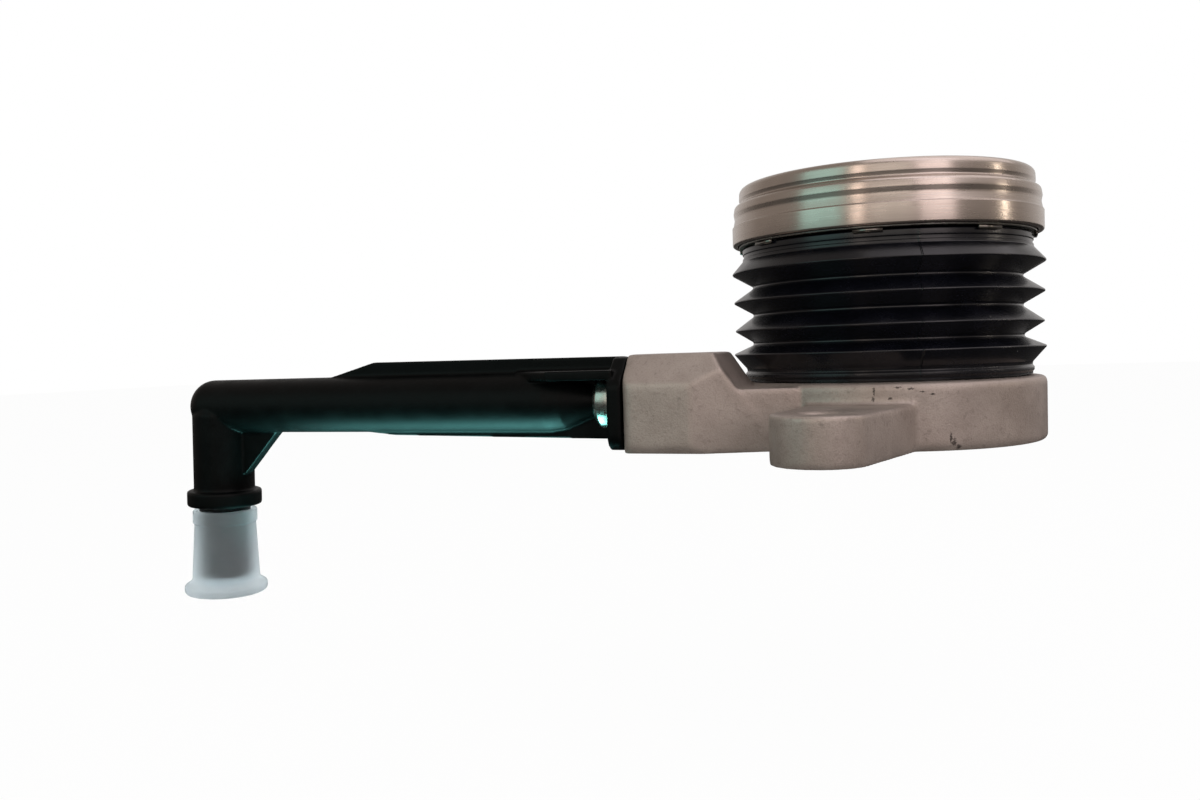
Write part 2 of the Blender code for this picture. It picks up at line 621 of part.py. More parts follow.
def make_piston(nylon, rubber, steel):
    """The annular piston, its two-lipped seal and the clip that holds the bearing on it."""
    inner = SLEEVE_R + GAP
    outer = CYLINDER_BORE_R - GAP
    groove_r = PISTON_NECK_R - CLIP_GROOVE_DEPTH
    corners = [
        (inner, PISTON_FOOT_Z, 0), (outer, PISTON_FOOT_Z, 0), (outer, PISTON_SHOULDER_Z, 0),
        (PISTON_NECK_R, PISTON_SHOULDER_Z, 0), (PISTON_NECK_R, CLIP_Z - GAP, 0),
        (groove_r, CLIP_Z - GAP, 0), (groove_r, CLIP_Z + CLIP_THICK + GAP, 0),
        (PISTON_NECK_R, CLIP_Z + CLIP_THICK + GAP, 0), (PISTON_NECK_R, PISTON_TOP_Z, 0),
        (PISTON_COUNTERBORE_R, PISTON_TOP_Z, 0), (PISTON_COUNTERBORE_R, STOP_RING_Z - GAP, 0),
        (inner, STOP_RING_Z - GAP, 0)]
    revolve("piston", fillet(corners), nylon, INNER_STEPS)
    web = SEAL_Z + SEAL_LIP_HEIGHT
    top = SEAL_Z + SEAL_HEIGHT
    seal = [
        (inner, SEAL_Z), (inner + SEAL_LIP_THICK / 2, SEAL_Z), (inner + SEAL_LIP_THICK, web),
        (outer - SEAL_LIP_THICK, web), (outer - SEAL_LIP_THICK / 2, SEAL_Z), (outer, SEAL_Z),
        (outer, top), (inner, top)]
    revolve("piston_seal", seal, rubber, INNER_STEPS)
    clip = ring_outline(groove_r + GAP, PISTON_NECK_R + CLIP_REACH, CLIP_Z, CLIP_Z + CLIP_THICK)
    revolve("bearing_clip", clip, steel, INNER_STEPS)


def bellows_corners():
    """The zigzag of the folds, foot to neck, as (r, z) corners on the outside."""
    def height(share):
        return BELLOWS_FOOT_Z + BELLOWS_LENGTH * share

    points = [(BELLOWS_FOOT_R, BELLOWS_FOOT_Z), (BELLOWS_FOOT_R, height(BELLOWS_FOOT_SHARE))]
    for i, (share, radius) in enumerate(FOLD_TIPS):
        points.append((radius, height(share)))
        if i < len(FOLD_ROOT_SHARES):
            points.append((FOLD_ROOT_R, height(FOLD_ROOT_SHARES[i])))
    points += [(BELLOWS_NECK_R, height(BELLOWS_NECK_SHARE)), (BELLOWS_NECK_R, BELLOWS_TOP_Z)]
    return points


def offset_inward(points, wall):
    """Shift an upward (r, z) line towards the axis by a wall thickness, with mitred corners."""
    inner = []
    for i, point in enumerate(points):
        here = Vector(point)
        ways = []
        if i > 0:
            ways.append((here - Vector(points[i - 1])).normalized())
        if i < len(points) - 1:
            ways.append((Vector(points[i + 1]) - here).normalized())
        normals = [Vector((-way.y, way.x)) for way in ways]
        middle = sum(normals, Vector((0, 0))).normalized()
        inner.append(here + middle * wall / middle.dot(normals[0]))
    return [(p.x, p.y) for p in inner]


def make_bellows(rubber, steel):
    """The rubber boot: four folds, a bead clamped in the trough and a flange under the carrier."""
    outer = bellows_corners()
    inner = offset_inward(outer, BELLOWS_WALL)
    tips = {2 + 2 * i for i in range(len(FOLD_TIPS))}
    corners = []
    for i, (r, z) in enumerate(outer):
        corners.append((r, z, FOLD_TIP_ROUND if i in tips else 0))
    in_r = inner[0][0]
    bead_in = BEAD_R - BEAD_THICK
    corners += [
        (BELLOWS_NECK_R - COLLAR_REACH, BELLOWS_TOP_Z, 0),
        (BELLOWS_NECK_R - COLLAR_REACH, BELLOWS_TOP_Z - COLLAR_THICK, 0),
        (inner[-1][0], BELLOWS_TOP_Z - COLLAR_THICK, 0)]
    corners += [(r, z, 0) for r, z in reversed(inner[1:-1])]
    corners += [
        (in_r, BELLOWS_FOOT_Z + BELLOWS_WALL, 0), (bead_in, BELLOWS_FOOT_Z + BELLOWS_WALL, 0),
        (bead_in, BEAD_Z, 0), (BEAD_R, BEAD_Z, 0),
        (BEAD_R, BELLOWS_FOOT_Z, 0)]
    revolve("bellows", fillet(corners, 1), rubber)
    clamp_r = bead_in - GAP
    clamp = ring_outline(clamp_r - CLAMP_RING_THICK, clamp_r, BEAD_Z, BEAD_Z + CLAMP_RING_HEIGHT)
    revolve("bellows_clamp_ring", clamp, steel, INNER_STEPS)


def make_spring(steel):
    """The preload spring and the washer it stands on."""
    seat = ring_outline(
        TROUGH_INNER_R + GAP, TROUGH_R - GAP, SPRING_SEAT_Z, SPRING_SEAT_Z + SPRING_SEAT_THICK)
    revolve("spring_seat", seat, steel)
    curve = bpy.data.curves.new("spring", 'CURVE')
    curve.dimensions = '3D'
    curve.bevel_depth = SPRING_WIRE_R * MM
    curve.bevel_resolution = 0
    curve.use_fill_caps = True
    spline = curve.splines.new('POLY')
    count = SPRING_TURNS * SPRING_POINTS_PER_TURN + 1
    spline.points.add(count - 1)
    foot = SPRING_FOOT_Z + SPRING_WIRE_R
    head = SPRING_HEAD_Z - SPRING_WIRE_R
    closed = 2 * SPRING_WIRE_R * SPRING_CLOSED_PITCH
    for k in range(count):
        turn = k / SPRING_POINTS_PER_TURN
        share = min(max((turn - 1) / (SPRING_TURNS - 2), 0), 1)
        ends = min(turn, 1) + max(turn - (SPRING_TURNS - 1), 0)
        height = foot + closed * ends + (head - foot - 2 * closed) * share
        angle = math.tau * turn
        place = Vector((SPRING_MEAN_R * math.cos(angle), SPRING_MEAN_R * math.sin(angle), height))
        spline.points[k].co = (*(place * MM), 1)
    helper = bpy.data.objects.new("spring path", curve)
    bpy.context.scene.collection.objects.link(helper)
    bpy.context.view_layer.update()
    graph = bpy.context.evaluated_depsgraph_get()
    mesh = bpy.data.meshes.new_from_object(helper.evaluated_get(graph))
    bpy.data.objects.remove(helper, do_unlink=True)
    bm = bmesh.new()
    bm.from_mesh(mesh)
    bm.transform(Matrix.Scale(1 / MM, 4))
    bmesh.ops.remove_doubles(bm, verts=bm.verts, dist=0.001)
    item = add_object("preload_spring", bm, steel)
    shade(item)


def make_carrier(steel):
    """The pressed plate on the piston that the bearing and the spring bear on, with rim tabs."""
    rim_in = CARRIER_R - CARRIER_TAB_WIDTH
    outline = [
        (PISTON_NECK_R + GAP, CARRIER_Z), (rim_in, CARRIER_Z), (CARRIER_R, CARRIER_Z),
        (CARRIER_R, CARRIER_TOP_Z), (PISTON_NECK_R + GAP, CARRIER_TOP_Z)]
    item = revolve("bearing_carrier", outline, steel)
    bm = bmesh.new()
    bm.from_mesh(item.data)
    rim = []
    for face in bm.faces:
        middle = face.calc_center_median()
        on_rim = math.hypot(middle.x, middle.y) > rim_in * MM * 0.995
        if on_rim and face.normal.z < -0.9:
            rim.append((math.atan2(middle.y, middle.x), face))
    rim.sort(key=lambda pair: pair[0])
    chosen = [face for k, (_, face) in enumerate(rim) if k % CARRIER_TAB_EVERY == 0]
    for face in chosen:
        made = bmesh.ops.extrude_face_region(bm, geom=[face])["geom"]
        verts = [v for v in made if isinstance(v, bmesh.types.BMVert)]
        bmesh.ops.translate(bm, verts=verts, vec=(0, 0, -CARRIER_TAB_DROP * MM))
    bmesh.ops.delete(bm, geom=[f for f in chosen if f.is_valid], context='FACES')
    bm.transform(Matrix.Scale(1 / MM, 4))
    bpy.data.objects.remove(item, do_unlink=True)
    item = add_object("bearing_carrier", bm, steel)
    shade(item)


def make_wave_washer(steel):
    """The wavy washer that lets the bearing find its own centre."""
    bm = bmesh.new()
    swing = (WASHER_SPACE - WASHER_THICK) / 2
    middle = CARRIER_TOP_Z + GAP + WASHER_SPACE / 2
    rings = []
    for k in range(INNER_STEPS):
        angle = math.tau * k / INNER_STEPS
        height = middle + swing * math.cos(WASHER_WAVES * angle)
        section = ring_outline(
            WASHER_INNER_R, WASHER_OUTER_R, height - WASHER_THICK / 2, height + WASHER_THICK / 2)
        rings.append([bm.verts.new((r * math.cos(angle), r * math.sin(angle), z)) for r, z in section])
    for k in range(INNER_STEPS):
        here, there = rings[k], rings[(k + 1) % INNER_STEPS]
        for i in range(4):
            j = (i + 1) % 4
            bm.faces.new((here[i], here[j], there[j], there[i]))
    shade(add_object("wave_washer", bm, steel))


def groove_arc(shoulder_r, inward):
    """The ball track's section, from the bottom up, where it cuts a race's shoulder."""
    track = BALL_R + GAP
    reach = abs(BALL_PITCH_R - shoulder_r)
    half = math.acos(reach / track)
    side = -1 if inward else 1
    points = []
    for k in range(TRACK_STEPS + 1):
        turn = -half + 2 * half * k / TRACK_STEPS
        points.append((BALL_PITCH_R + side * track * math.cos(turn), BALL_Z + track * math.sin(turn)))
    return points


def make_races(steel):
    """The two rings of the angular ball bearing."""
    inner = [(INNER_RACE_BORE_R, RACE_Z), (INNER_RACE_R, RACE_Z)]
    inner += groove_arc(INNER_RACE_R, True)
    inner += [(INNER_RACE_R, RACE_TOP_Z), (INNER_RACE_BORE_R, RACE_TOP_Z)]
    revolve("bearing_inner_race", inner, steel, INNER_STEPS)
    outer = [(OUTER_RACE_BORE_R, RACE_Z)]
    outer += groove_arc(OUTER_RACE_BORE_R, False)
    outer += [
        (OUTER_RACE_BORE_R, OUTER_RACE_TOP_Z), (OUTER_RACE_R - RACE_EDGE, OUTER_RACE_TOP_Z),
        (OUTER_RACE_R, OUTER_RACE_TOP_Z - RACE_EDGE), (OUTER_RACE_R, RACE_Z)]
    revolve("bearing_outer_race", outer, steel, 2 * BALL_COUNT)


def make_cage(nylon):
    """The ball cage: a ring with a round pocket for each ball."""
    half = BALL_R + GAP + CAGE_MARGIN
    cage = revolve(
        "bearing_cage", ring_outline(CAGE_INNER_R, CAGE_OUTER_R, BALL_Z - half, BALL_Z + half),
        steps=2 * BALL_COUNT)
    pockets = []
    for k in range(BALL_COUNT):
        way = Matrix.Rotation(math.tau * k / BALL_COUNT, 3, 'Z') @ Vector((1, 0, 0))
        lift = Vector((0, 0, BALL_Z))
        pockets.append(drill(
            f"pocket {k}", way * (CAGE_INNER_R - 2) + lift, way * (CAGE_OUTER_R + 2) + lift,
            (BALL_R + GAP) * POCKET_PLAY, 8))
    combine(cage, [merge_shells(pockets)], 'DIFFERENCE')
    cage.data.materials.clear()
    cage.data.materials.append(nylon)
    shade(cage)


def make_balls(steel):
    """The bearing's balls, each a piece of its own, sharing one mesh."""
    bm = bmesh.new()
    bmesh.ops.create_uvsphere(bm, u_segments=8, v_segments=4, radius=BALL_R)
    first = add_object("ball_01", bm, steel)
    first.data.shade_smooth()
    for k in range(BALL_COUNT):
        ball = first if k == 0 else bpy.data.objects.new(f"ball_{k + 1:02d}", first.data)
        angle = math.tau * k / BALL_COUNT
        ball.location = Vector((BALL_PITCH_R * math.cos(angle), BALL_PITCH_R * math.sin(angle), BALL_Z)) * MM
        if k > 0:
            bpy.context.scene.collection.objects.link(ball)


def make_shield(steel):
    """The washer that closes the bearing below, carried by the outer race."""
    top = RACE_Z - GAP
    shield = ring_outline(SHIELD_INNER_R, OUTER_RACE_R, top - SHIELD_THICK, top)
    revolve("bearing_shield", shield, steel, INNER_STEPS)


def make_cover(steel):
    """The pressed cover that turns with the clutch: band, two rolls and the thrust face."""
    band_top = COVER_BOTTOM_Z + COVER_BAND_HEIGHT
    crease_z = COVER_TOP_Z - COVER_CREASE_DROP
    lip_z = COVER_TOP_Z - COVER_LIP_DROP
    mouth_in = COVER_MOUTH_R + COVER_WALL
    seat_r = OUTER_RACE_R + GAP
    roll_top = band_top + COVER_ROLL_HEIGHT
    corners = [
        (COVER_BAND_R - COVER_WALL, COVER_BOTTOM_Z, 0), (COVER_BAND_R, COVER_BOTTOM_Z, 0.45),
        (COVER_BAND_R, band_top, 0.2), (COVER_ROLL_R, band_top + COVER_STEP, 0),
        (COVER_ROLL_R, roll_top, COVER_ROLL_ROUND), (COVER_CREASE_R, crease_z, 0),
        (COVER_BROW_R, crease_z + 0.5, 0.3), (COVER_BROW_R, COVER_TOP_Z, COVER_TOP_ROUND),
        (COVER_MOUTH_R, COVER_TOP_Z, COVER_MOUTH_ROUND), (COVER_MOUTH_R, lip_z, 0), (mouth_in, lip_z, 0),
        (mouth_in, COVER_UNDERSIDE_Z, 0), (seat_r, COVER_UNDERSIDE_Z, 0), (seat_r, crease_z, 0),
        (COVER_ROLL_R - COVER_WALL, roll_top, 0), (COVER_BAND_R - COVER_WALL, band_top, 0)]
    revolve("bearing_cover", fillet(corners, 2), steel)


def pipe_barrel():
    """The pipe's turned form along X: domed elbow, barrel, cone, neck and plug."""
    plug_end = FLANGE_RIGHT_X + PIPE_PLUG_LENGTH
    groove_x = BLOCK_END_X + PORT_SEAL_INSET
    half = O_RING_WIRE_R + GAP
    groove_r = PIPE_PLUG_R - O_RING_GROOVE_FLOOR
    neck_end = FLANGE_LEFT_X + JOIN_DEPTH
    centre_x = LEG_X - PIPE_END_REACH
    outline = [(0, centre_x - PIPE_DOME_LENGTH)]
    for k in range(1, PIPE_DOME_STEPS + 1):
        turn = math.pi / 2 * k / PIPE_DOME_STEPS
        outline.append((PIPE_R * math.sin(turn), centre_x - PIPE_DOME_LENGTH * math.cos(turn)))
    outline += [
        (PIPE_R, PIPE_CONE_X), (PIPE_NECK_R, PIPE_NECK_X), (PIPE_NECK_R, neck_end),
        (PIPE_PLUG_R, neck_end), (PIPE_PLUG_R, groove_x - half), (groove_r, groove_x - half),
        (groove_r, groove_x + half), (PIPE_PLUG_R, groove_x + half), (PIPE_PLUG_R, plug_end - PIPE_PLUG_CHAMFER),
        (PIPE_PLUG_R - PIPE_PLUG_CHAMFER, plug_end), (0, plug_end)]
    place = Matrix.Translation((0, PORT_Y, PORT_Z)) @ AXIS_X
    return revolve("feed_pipe", outline, steps=PIPE_STEPS, place=place)


def pipe_leg():
    """The elbow's leg down to the collar and the spigot, with the seal groove."""
    groove_z = PIPE_COLLAR_FOOT_Z - SPIGOT_SEAL_DROP
    half = O_RING_WIRE_R + GAP
    groove_r = SPIGOT_R - O_RING_GROOVE_FLOOR
    outline = [
        (0, SPIGOT_END_Z), (SPIGOT_R - SPIGOT_CHAMFER, SPIGOT_END_Z),
        (SPIGOT_R, SPIGOT_END_Z + SPIGOT_CHAMFER), (SPIGOT_R, groove_z - half),
        (groove_r, groove_z - half), (groove_r, groove_z + half), (SPIGOT_R, groove_z + half),
        (SPIGOT_R, PIPE_COLLAR_FOOT_Z), (COLLAR_R - COLLAR_EDGE, PIPE_COLLAR_FOOT_Z),
        (COLLAR_R, PIPE_COLLAR_FOOT_Z + COLLAR_EDGE), (COLLAR_R, LEG_FOOT_Z - COLLAR_EDGE),
        (COLLAR_R - COLLAR_EDGE, LEG_FOOT_Z), (LEG_R, LEG_FOOT_Z), (LEG_R, LEG_SHOULDER_Z[0]),
        (LEG_TOP_R, LEG_SHOULDER_Z[1]), (0, LEG_SHOULDER_Z[1])]
    return revolve("leg", outline, steps=PIPE_STEPS, place=LEG_PLACE)


def upright_plate(name, outline, thick):
    """A plate in the pipe's upright middle plane, from an (x, z) outline."""
    stand = Matrix.Translation((0, PORT_Y, 0)) @ Matrix.Rotation(math.radians(90), 4, 'X')
    return prism(name, outline, -thick / 2, thick / 2, place=stand)


def pipe_fins():
    """The stiffening fins above and below the barrel, and the elbow's gusset."""
    end = FLANGE_LEFT_X + JOIN_DEPTH
    top = [
        (TOP_FIN_START_X, PORT_Z), (end, PORT_Z), (end, TOP_FIN_NEAR_Z), (TOP_FIN_FULL_X, TOP_FIN_FAR_Z),
        (TOP_FIN_START_X, PORT_Z + PIPE_R - FIN_ROOT_SINK)]
    low = [
        (LOW_FIN_START_X, PORT_Z), (LOW_FIN_START_X, PORT_Z - PIPE_R + FIN_ROOT_SINK),
        (LOW_FIN_FULL_X, LOW_FIN_FAR_Z), (end, LOW_FIN_NEAR_Z), (end, PORT_Z)]
    gusset = [
        (LEG_X, GUSSET_FOOT_Z), (LEG_X + LEG_R, GUSSET_FOOT_Z),
        (GUSSET_REACH_X, PORT_Z - PIPE_R + FIN_ROOT_SINK), (GUSSET_REACH_X, PORT_Z), (LEG_X, PORT_Z)]
    return [
        upright_plate("top fin", top, FIN_THICK), upright_plate("low fin", low, FIN_THICK),
        upright_plate("gusset", gusset, GUSSET_THICK)]


def pipe_ledges():
    """The flat ledge on each side of the top fin, and the flange that meets the block."""
    ledge_end = FLANGE_LEFT_X + JOIN_DEPTH
    full_x = LEDGE_START_X + LEDGE_TAPER
    near_side = [
        (LEDGE_START_X, PORT_Y - LEDGE_POINT_WIDTH), (full_x, PORT_Y - LEDGE_WIDTH),
        (ledge_end, PORT_Y - LEDGE_WIDTH)]
    far_side = [(x, 2 * PORT_Y - y) for x, y in reversed(near_side)]
    ledge = prism("ledge", near_side + far_side, LEDGE_Z - LEDGE_THICK, LEDGE_Z)
    low = (PIPE_FLANGE_MARGIN, BLOCK_FRONT_Y + PIPE_FLANGE_MARGIN)
    high = (BLOCK_HEIGHT - PIPE_FLANGE_MARGIN, BLOCK_BACK_Y - PIPE_FLANGE_MARGIN)
    round_r = PIPE_FLANGE_ROUND
    corners = [
        (low[0], low[1], round_r), (BLOCK_BROW_Z, low[1], round_r),
        (high[0], low[1] + BLOCK_BROW_DEPTH, round_r / 2),
        (high[0], high[1], round_r), (low[0], high[1], round_r)]
    outline = [(y, z) for z, y in fillet(corners, 2)]
    stand = Matrix(((0, 0, 1, 0), (1, 0, 0, 0), (0, 1, 0, 0), (0, 0, 0, 1)))
    flange = prism("flange", outline, FLANGE_LEFT_X, FLANGE_RIGHT_X, place=stand)
    return [ledge, flange]


def make_pipe(plastic, rubber, steel):
    """The feed pipe, bored through, with its two seals and the ring behind its flange."""
    pipe = pipe_barrel()
    combine(pipe, [pipe_leg()] + pipe_fins() + pipe_ledges(), 'UNION')
    seat_r = PIPE_NECK_R - FERRULE_SEAT_DEPTH
    room = ring_outline(seat_r, FERRULE_R + GAP, -GAP, FERRULE_LENGTH + GAP)
    ring_place = Matrix.Translation((FERRULE_X, PORT_Y, PORT_Z)) @ AXIS_X
    recess = revolve("ferrule room", room, steps=PIPE_STEPS, place=ring_place)
    along = drill(
        "bore", (LEG_X, PORT_Y, PORT_Z), (FLANGE_RIGHT_X + PIPE_PLUG_LENGTH + 1, PORT_Y, PORT_Z), PIPE_BORE_R)
    foot = LEG_PLACE @ Vector((0, 0, SPIGOT_END_Z - 1))
    past_elbow = Vector(ELBOW) - (foot - Vector(ELBOW)).normalized() * LEG_BORE_PAST
    down = drill("leg bore", foot, past_elbow, PIPE_BORE_R)
    combine(along, [down], 'UNION')
    combine(pipe, [merge_shells([recess, along])], 'DIFFERENCE')
    pipe.data.materials.clear()
    pipe.data.materials.append(plastic)
    shade(pipe)
    port = Matrix.Translation((BLOCK_END_X + PORT_SEAL_INSET, PORT_Y, PORT_Z)) @ AXIS_X
    seal_r = PIPE_PLUG_R - O_RING_GROOVE_FLOOR + GAP + O_RING_WIRE_R
    o_ring("port_seal", seal_r, O_RING_WIRE_R, 0, rubber, SMALL_SEAL_STEPS, port)
    spigot_z = PIPE_COLLAR_FOOT_Z - SPIGOT_SEAL_DROP
    spigot_r = SPIGOT_R - O_RING_GROOVE_FLOOR + GAP + O_RING_WIRE_R
    o_ring("spigot_seal", spigot_r, O_RING_WIRE_R, spigot_z, rubber, SMALL_SEAL_STEPS, LEG_PLACE)
    neck = seat_r + GAP
    ferrule = [
        (neck, 0, 0), (FERRULE_NOSE_R, 0, 0), (FERRULE_R, FERRULE_LENGTH * FERRULE_SHOULDER, 0.8),
        (FERRULE_R, FERRULE_LENGTH, 0), (neck, FERRULE_LENGTH, 0)]
    revolve("pipe_ferrule", fillet(ferrule), steel, PIPE_STEPS, ring_place)


def make_cap(polythene):
    """The push-on dust cap: a thin cup with a rim, a taper and a flared foot."""
    rim_r = CAP_BORE_R + CAP_WALL
    foot_top = CAP_FOOT_Z + CAP_FOOT_THICK
    corners = [
        (0, CAP_FOOT_Z, 0), (CAP_FOOT_R, CAP_FOOT_Z, 0.9), (CAP_FOOT_R, foot_top, 0.9),
        (rim_r + CAP_TAPER, foot_top + CAP_FLARE_HEIGHT, 1.0), (rim_r, CAP_TOP_Z - CAP_RIM_HEIGHT, 0),
        (rim_r + CAP_RIM_REACH, CAP_TOP_Z - CAP_RIM_HEIGHT + 0.4, 0),
        (rim_r + CAP_RIM_REACH, CAP_TOP_Z, 0.4), (CAP_BORE_R, CAP_TOP_Z, 0),
        (CAP_BORE_R, CAP_FOOT_Z + CAP_END_THICK, 0), (0, CAP_FOOT_Z + CAP_END_THICK, 0)]
    revolve("dust_cap", fillet(corners, 2), polythene, PIPE_STEPS, LEG_PLACE)


def make_sleeve_seal(rubber):
    """The O-ring that seals the sleeve's flange to the casting."""
    height = SLEEVE_RECESS_DEPTH + SLEEVE_SEAL_WIRE_R - GAP / 2
    o_ring("sleeve_seal", SLEEVE_SEAL_R, SLEEVE_SEAL_WIRE_R - GAP / 4, height, rubber)


def main():
    """Make the materials, then every piece from the gearbox side outwards."""
    clear_scene()
    aluminium = make_material("cast aluminium", (0.33, 0.30, 0.28), 0.55, 0.6)
    bright = make_material("pressed steel", (0.56, 0.52, 0.48), 0.3, 1.0)
    steel = make_material("spring steel", (0.28, 0.28, 0.29), 0.35, 1.0)
    bearing = make_material("bearing steel", (0.60, 0.60, 0.62), 0.18, 1.0)
    rubber = make_material("black rubber", (0.012, 0.012, 0.014), 0.45)
    plastic = make_material("black nylon", (0.010, 0.013, 0.014), 0.4)
    nylon = make_material("natural nylon", (0.62, 0.55, 0.40), 0.5)
    polythene = make_material("milky polythene", (0.70, 0.76, 0.75), 0.35)
    make_housing(aluminium)
    make_sleeve(bright)
    make_sleeve_seal(rubber)
    make_piston(nylon, rubber, steel)
    make_bellows(rubber, steel)
    make_spring(steel)
    make_carrier(bright)
    make_wave_washer(steel)
    make_races(bearing)
    make_cage(nylon)
    make_balls(bearing)
    make_shield(bright)
    make_cover(bright)
    make_pipe(plastic, rubber, bright)
    make_cap(polythene)


main()
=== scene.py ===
# %% [markdown]
# # A concentric clutch slave cylinder
#
# This unit sits round a gearbox's input shaft. Oil comes in through the long black pipe, pushes an
# annular piston out of the aluminium casting, and the release bearing on the piston presses the
# clutch's spring fingers. This script gives each piece that shows its finer shape and its finish,
# then lights it like the photograph.

import math

import bmesh
import bpy
from mathutils import Matrix, Vector


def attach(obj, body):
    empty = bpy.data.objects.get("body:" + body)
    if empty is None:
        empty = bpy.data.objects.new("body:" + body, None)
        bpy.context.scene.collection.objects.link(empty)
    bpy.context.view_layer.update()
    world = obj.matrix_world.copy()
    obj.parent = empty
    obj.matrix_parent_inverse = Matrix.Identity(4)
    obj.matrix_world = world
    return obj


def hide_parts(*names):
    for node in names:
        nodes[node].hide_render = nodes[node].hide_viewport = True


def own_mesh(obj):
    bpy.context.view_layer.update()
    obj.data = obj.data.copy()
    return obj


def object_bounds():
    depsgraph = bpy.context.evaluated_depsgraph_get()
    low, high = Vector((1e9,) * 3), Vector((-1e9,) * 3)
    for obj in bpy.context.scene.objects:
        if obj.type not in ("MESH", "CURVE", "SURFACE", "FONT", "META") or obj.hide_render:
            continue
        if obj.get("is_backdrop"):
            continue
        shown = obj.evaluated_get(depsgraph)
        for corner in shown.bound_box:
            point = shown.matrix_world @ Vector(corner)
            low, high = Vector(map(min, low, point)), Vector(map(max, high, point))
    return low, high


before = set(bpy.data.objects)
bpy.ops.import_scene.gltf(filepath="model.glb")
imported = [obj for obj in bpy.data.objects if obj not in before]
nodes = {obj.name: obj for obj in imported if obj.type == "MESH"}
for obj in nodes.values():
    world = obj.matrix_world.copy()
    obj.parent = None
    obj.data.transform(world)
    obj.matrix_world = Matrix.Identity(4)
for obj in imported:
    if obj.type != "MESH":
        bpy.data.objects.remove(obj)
cad_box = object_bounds()
print("pieces in the frame:", len(nodes))

# %% [markdown]
# Colours are easiest to judge as a colour picker's hex codes, but shaders want linear light. One
# function does that change, so every colour below is written as it looks.

# %% Colour and lengths
MM = 0.001


def linear(code):
    """A hex colour such as "#9a8f87" as linear RGBA."""
    values = [int(code[i:i + 2], 16) / 255 for i in (1, 3, 5)]
    return (*[v / 12.92 if v <= 0.04045 else ((v + 0.055) / 1.055) ** 2.4 for v in values], 1.0)


# %% [markdown]
# A node tree reads well in code if each node takes one line. `add` makes a node, sets its options
# and fills its inputs. `fresh` starts a material, and hands out a position in millimetres, so
# pattern sizes are true sizes.

# %% Node helpers
def put(tree, value, socket):
    """Link a socket to this input, or write any other value into it."""
    if isinstance(value, bpy.types.NodeSocket):
        tree.links.new(value, socket)
    else:
        socket.default_value = value


def add(tree, kind, inputs=None, **options):
    """A node with its options set and its inputs linked or filled."""
    node = tree.nodes.new(kind)
    for name, value in options.items():
        setattr(node, name, value)
    for key, value in (inputs or {}).items():
        put(tree, value, node.inputs[key])
    return node


def fresh(name):
    """A material, its tree, its shader and the surface position in millimetres."""
    material = bpy.data.materials.new(name)
    material.use_nodes = True
    tree = material.node_tree
    place = add(tree, "ShaderNodeTexCoord").outputs["Object"]
    millimetres = add(tree, "ShaderNodeVectorMath", {0: place, "Scale": 1 / MM}, operation="SCALE")
    return material, tree, tree.nodes["Principled BSDF"], millimetres.outputs[0]


def math_node(tree, operation, a, b=0.0, c=0.0):
    """One sum, product or comparison of up to three values."""
    return add(tree, "ShaderNodeMath", {0: a, 1: b, 2: c}, operation=operation).outputs[0]


def vector_node(tree, operation, a, b=(0, 0, 0), result="Vector"):
    """One sum, product or length of positions."""
    return add(tree, "ShaderNodeVectorMath", {0: a, 1: b}, operation=operation).outputs[result]


def noise(tree, place, size_mm, detail=3.0, roughness=0.55):
    """Cloudy noise whose blotches are about this many millimetres across."""
    node = add(tree, "ShaderNodeTexNoise", {
        "Vector": place, "Scale": 1 / size_mm, "Detail": detail, "Roughness": roughness})
    return node.outputs["Fac"]


def spread(tree, value, low, high, to_low, to_high):
    """Map a value from one range to another, held inside it."""
    node = add(tree, "ShaderNodeMapRange", {
        "Value": value, "From Min": low, "From Max": high, "To Min": to_low, "To Max": to_high})
    return node.outputs[0]


def mix_colour(tree, factor, first, second):
    """Blend two colours, each a socket or a linear colour."""
    inputs = {0: factor, 6: first, 7: second}
    return add(tree, "ShaderNodeMix", inputs, data_type="RGBA").outputs[2]


def two_tone(tree, value, low, high, first, second):
    """Blend from one hex colour to another while the value rises from low to high."""
    return mix_colour(tree, spread(tree, value, low, high, 0, 1), linear(first), linear(second))


def bump(tree, height, depth_mm, normal=None):
    """Turn a 0 to 1 height into a bump that is this many millimetres deep."""
    node = add(tree, "ShaderNodeBump", {"Height": height, "Distance": depth_mm * MM})
    if normal:
        tree.links.new(normal, node.inputs["Normal"])
    return node.outputs[0]


def fill(tree, shader, **values):
    """Set the shader's inputs by name, with underscores for spaces."""
    for name, value in values.items():
        put(tree, value, shader.inputs[name.replace("_", " ")])


# %% [markdown]
# ## Finish of the casting
# The housing is a high-pressure aluminium die casting that was blasted. That leaves a fine, even
# grain, a dull warm grey, and faint clouds where the melt met the die. Noise of several sizes makes
# the clouds, the pits and the grain. Handling left a few dark scrapes, each a small blot at a
# listed place, and noise eats into its edge.

# %% Die-cast aluminium
SCUFFS = (
    ((0.6, -32.5, 10.0), 0.3, 0.6), ((0.8, -32.5, 11.7), 0.25, 0.9),
    ((3.7, -32.3, 10.2), 0.5, 0.35), ((5.0, -32.1, 12.3), 0.9, 0.22),
    ((7.4, -31.6, 12.0), 0.7, 0.25), ((9.4, -31.1, 11.4), 0.6, 0.2),
    ((11.3, -30.5, 10.9), 0.7, 0.22), ((14.3, -29.2, 2.5), 0.3, 1.1),
    ((14.9, -28.9, 1.7), 0.5, 0.9), ((15.7, -28.5, 0.6), 0.6, 0.7))
RAGGEDNESS = 3.0
SCUFF_EDGE = (2.0, 2.5)


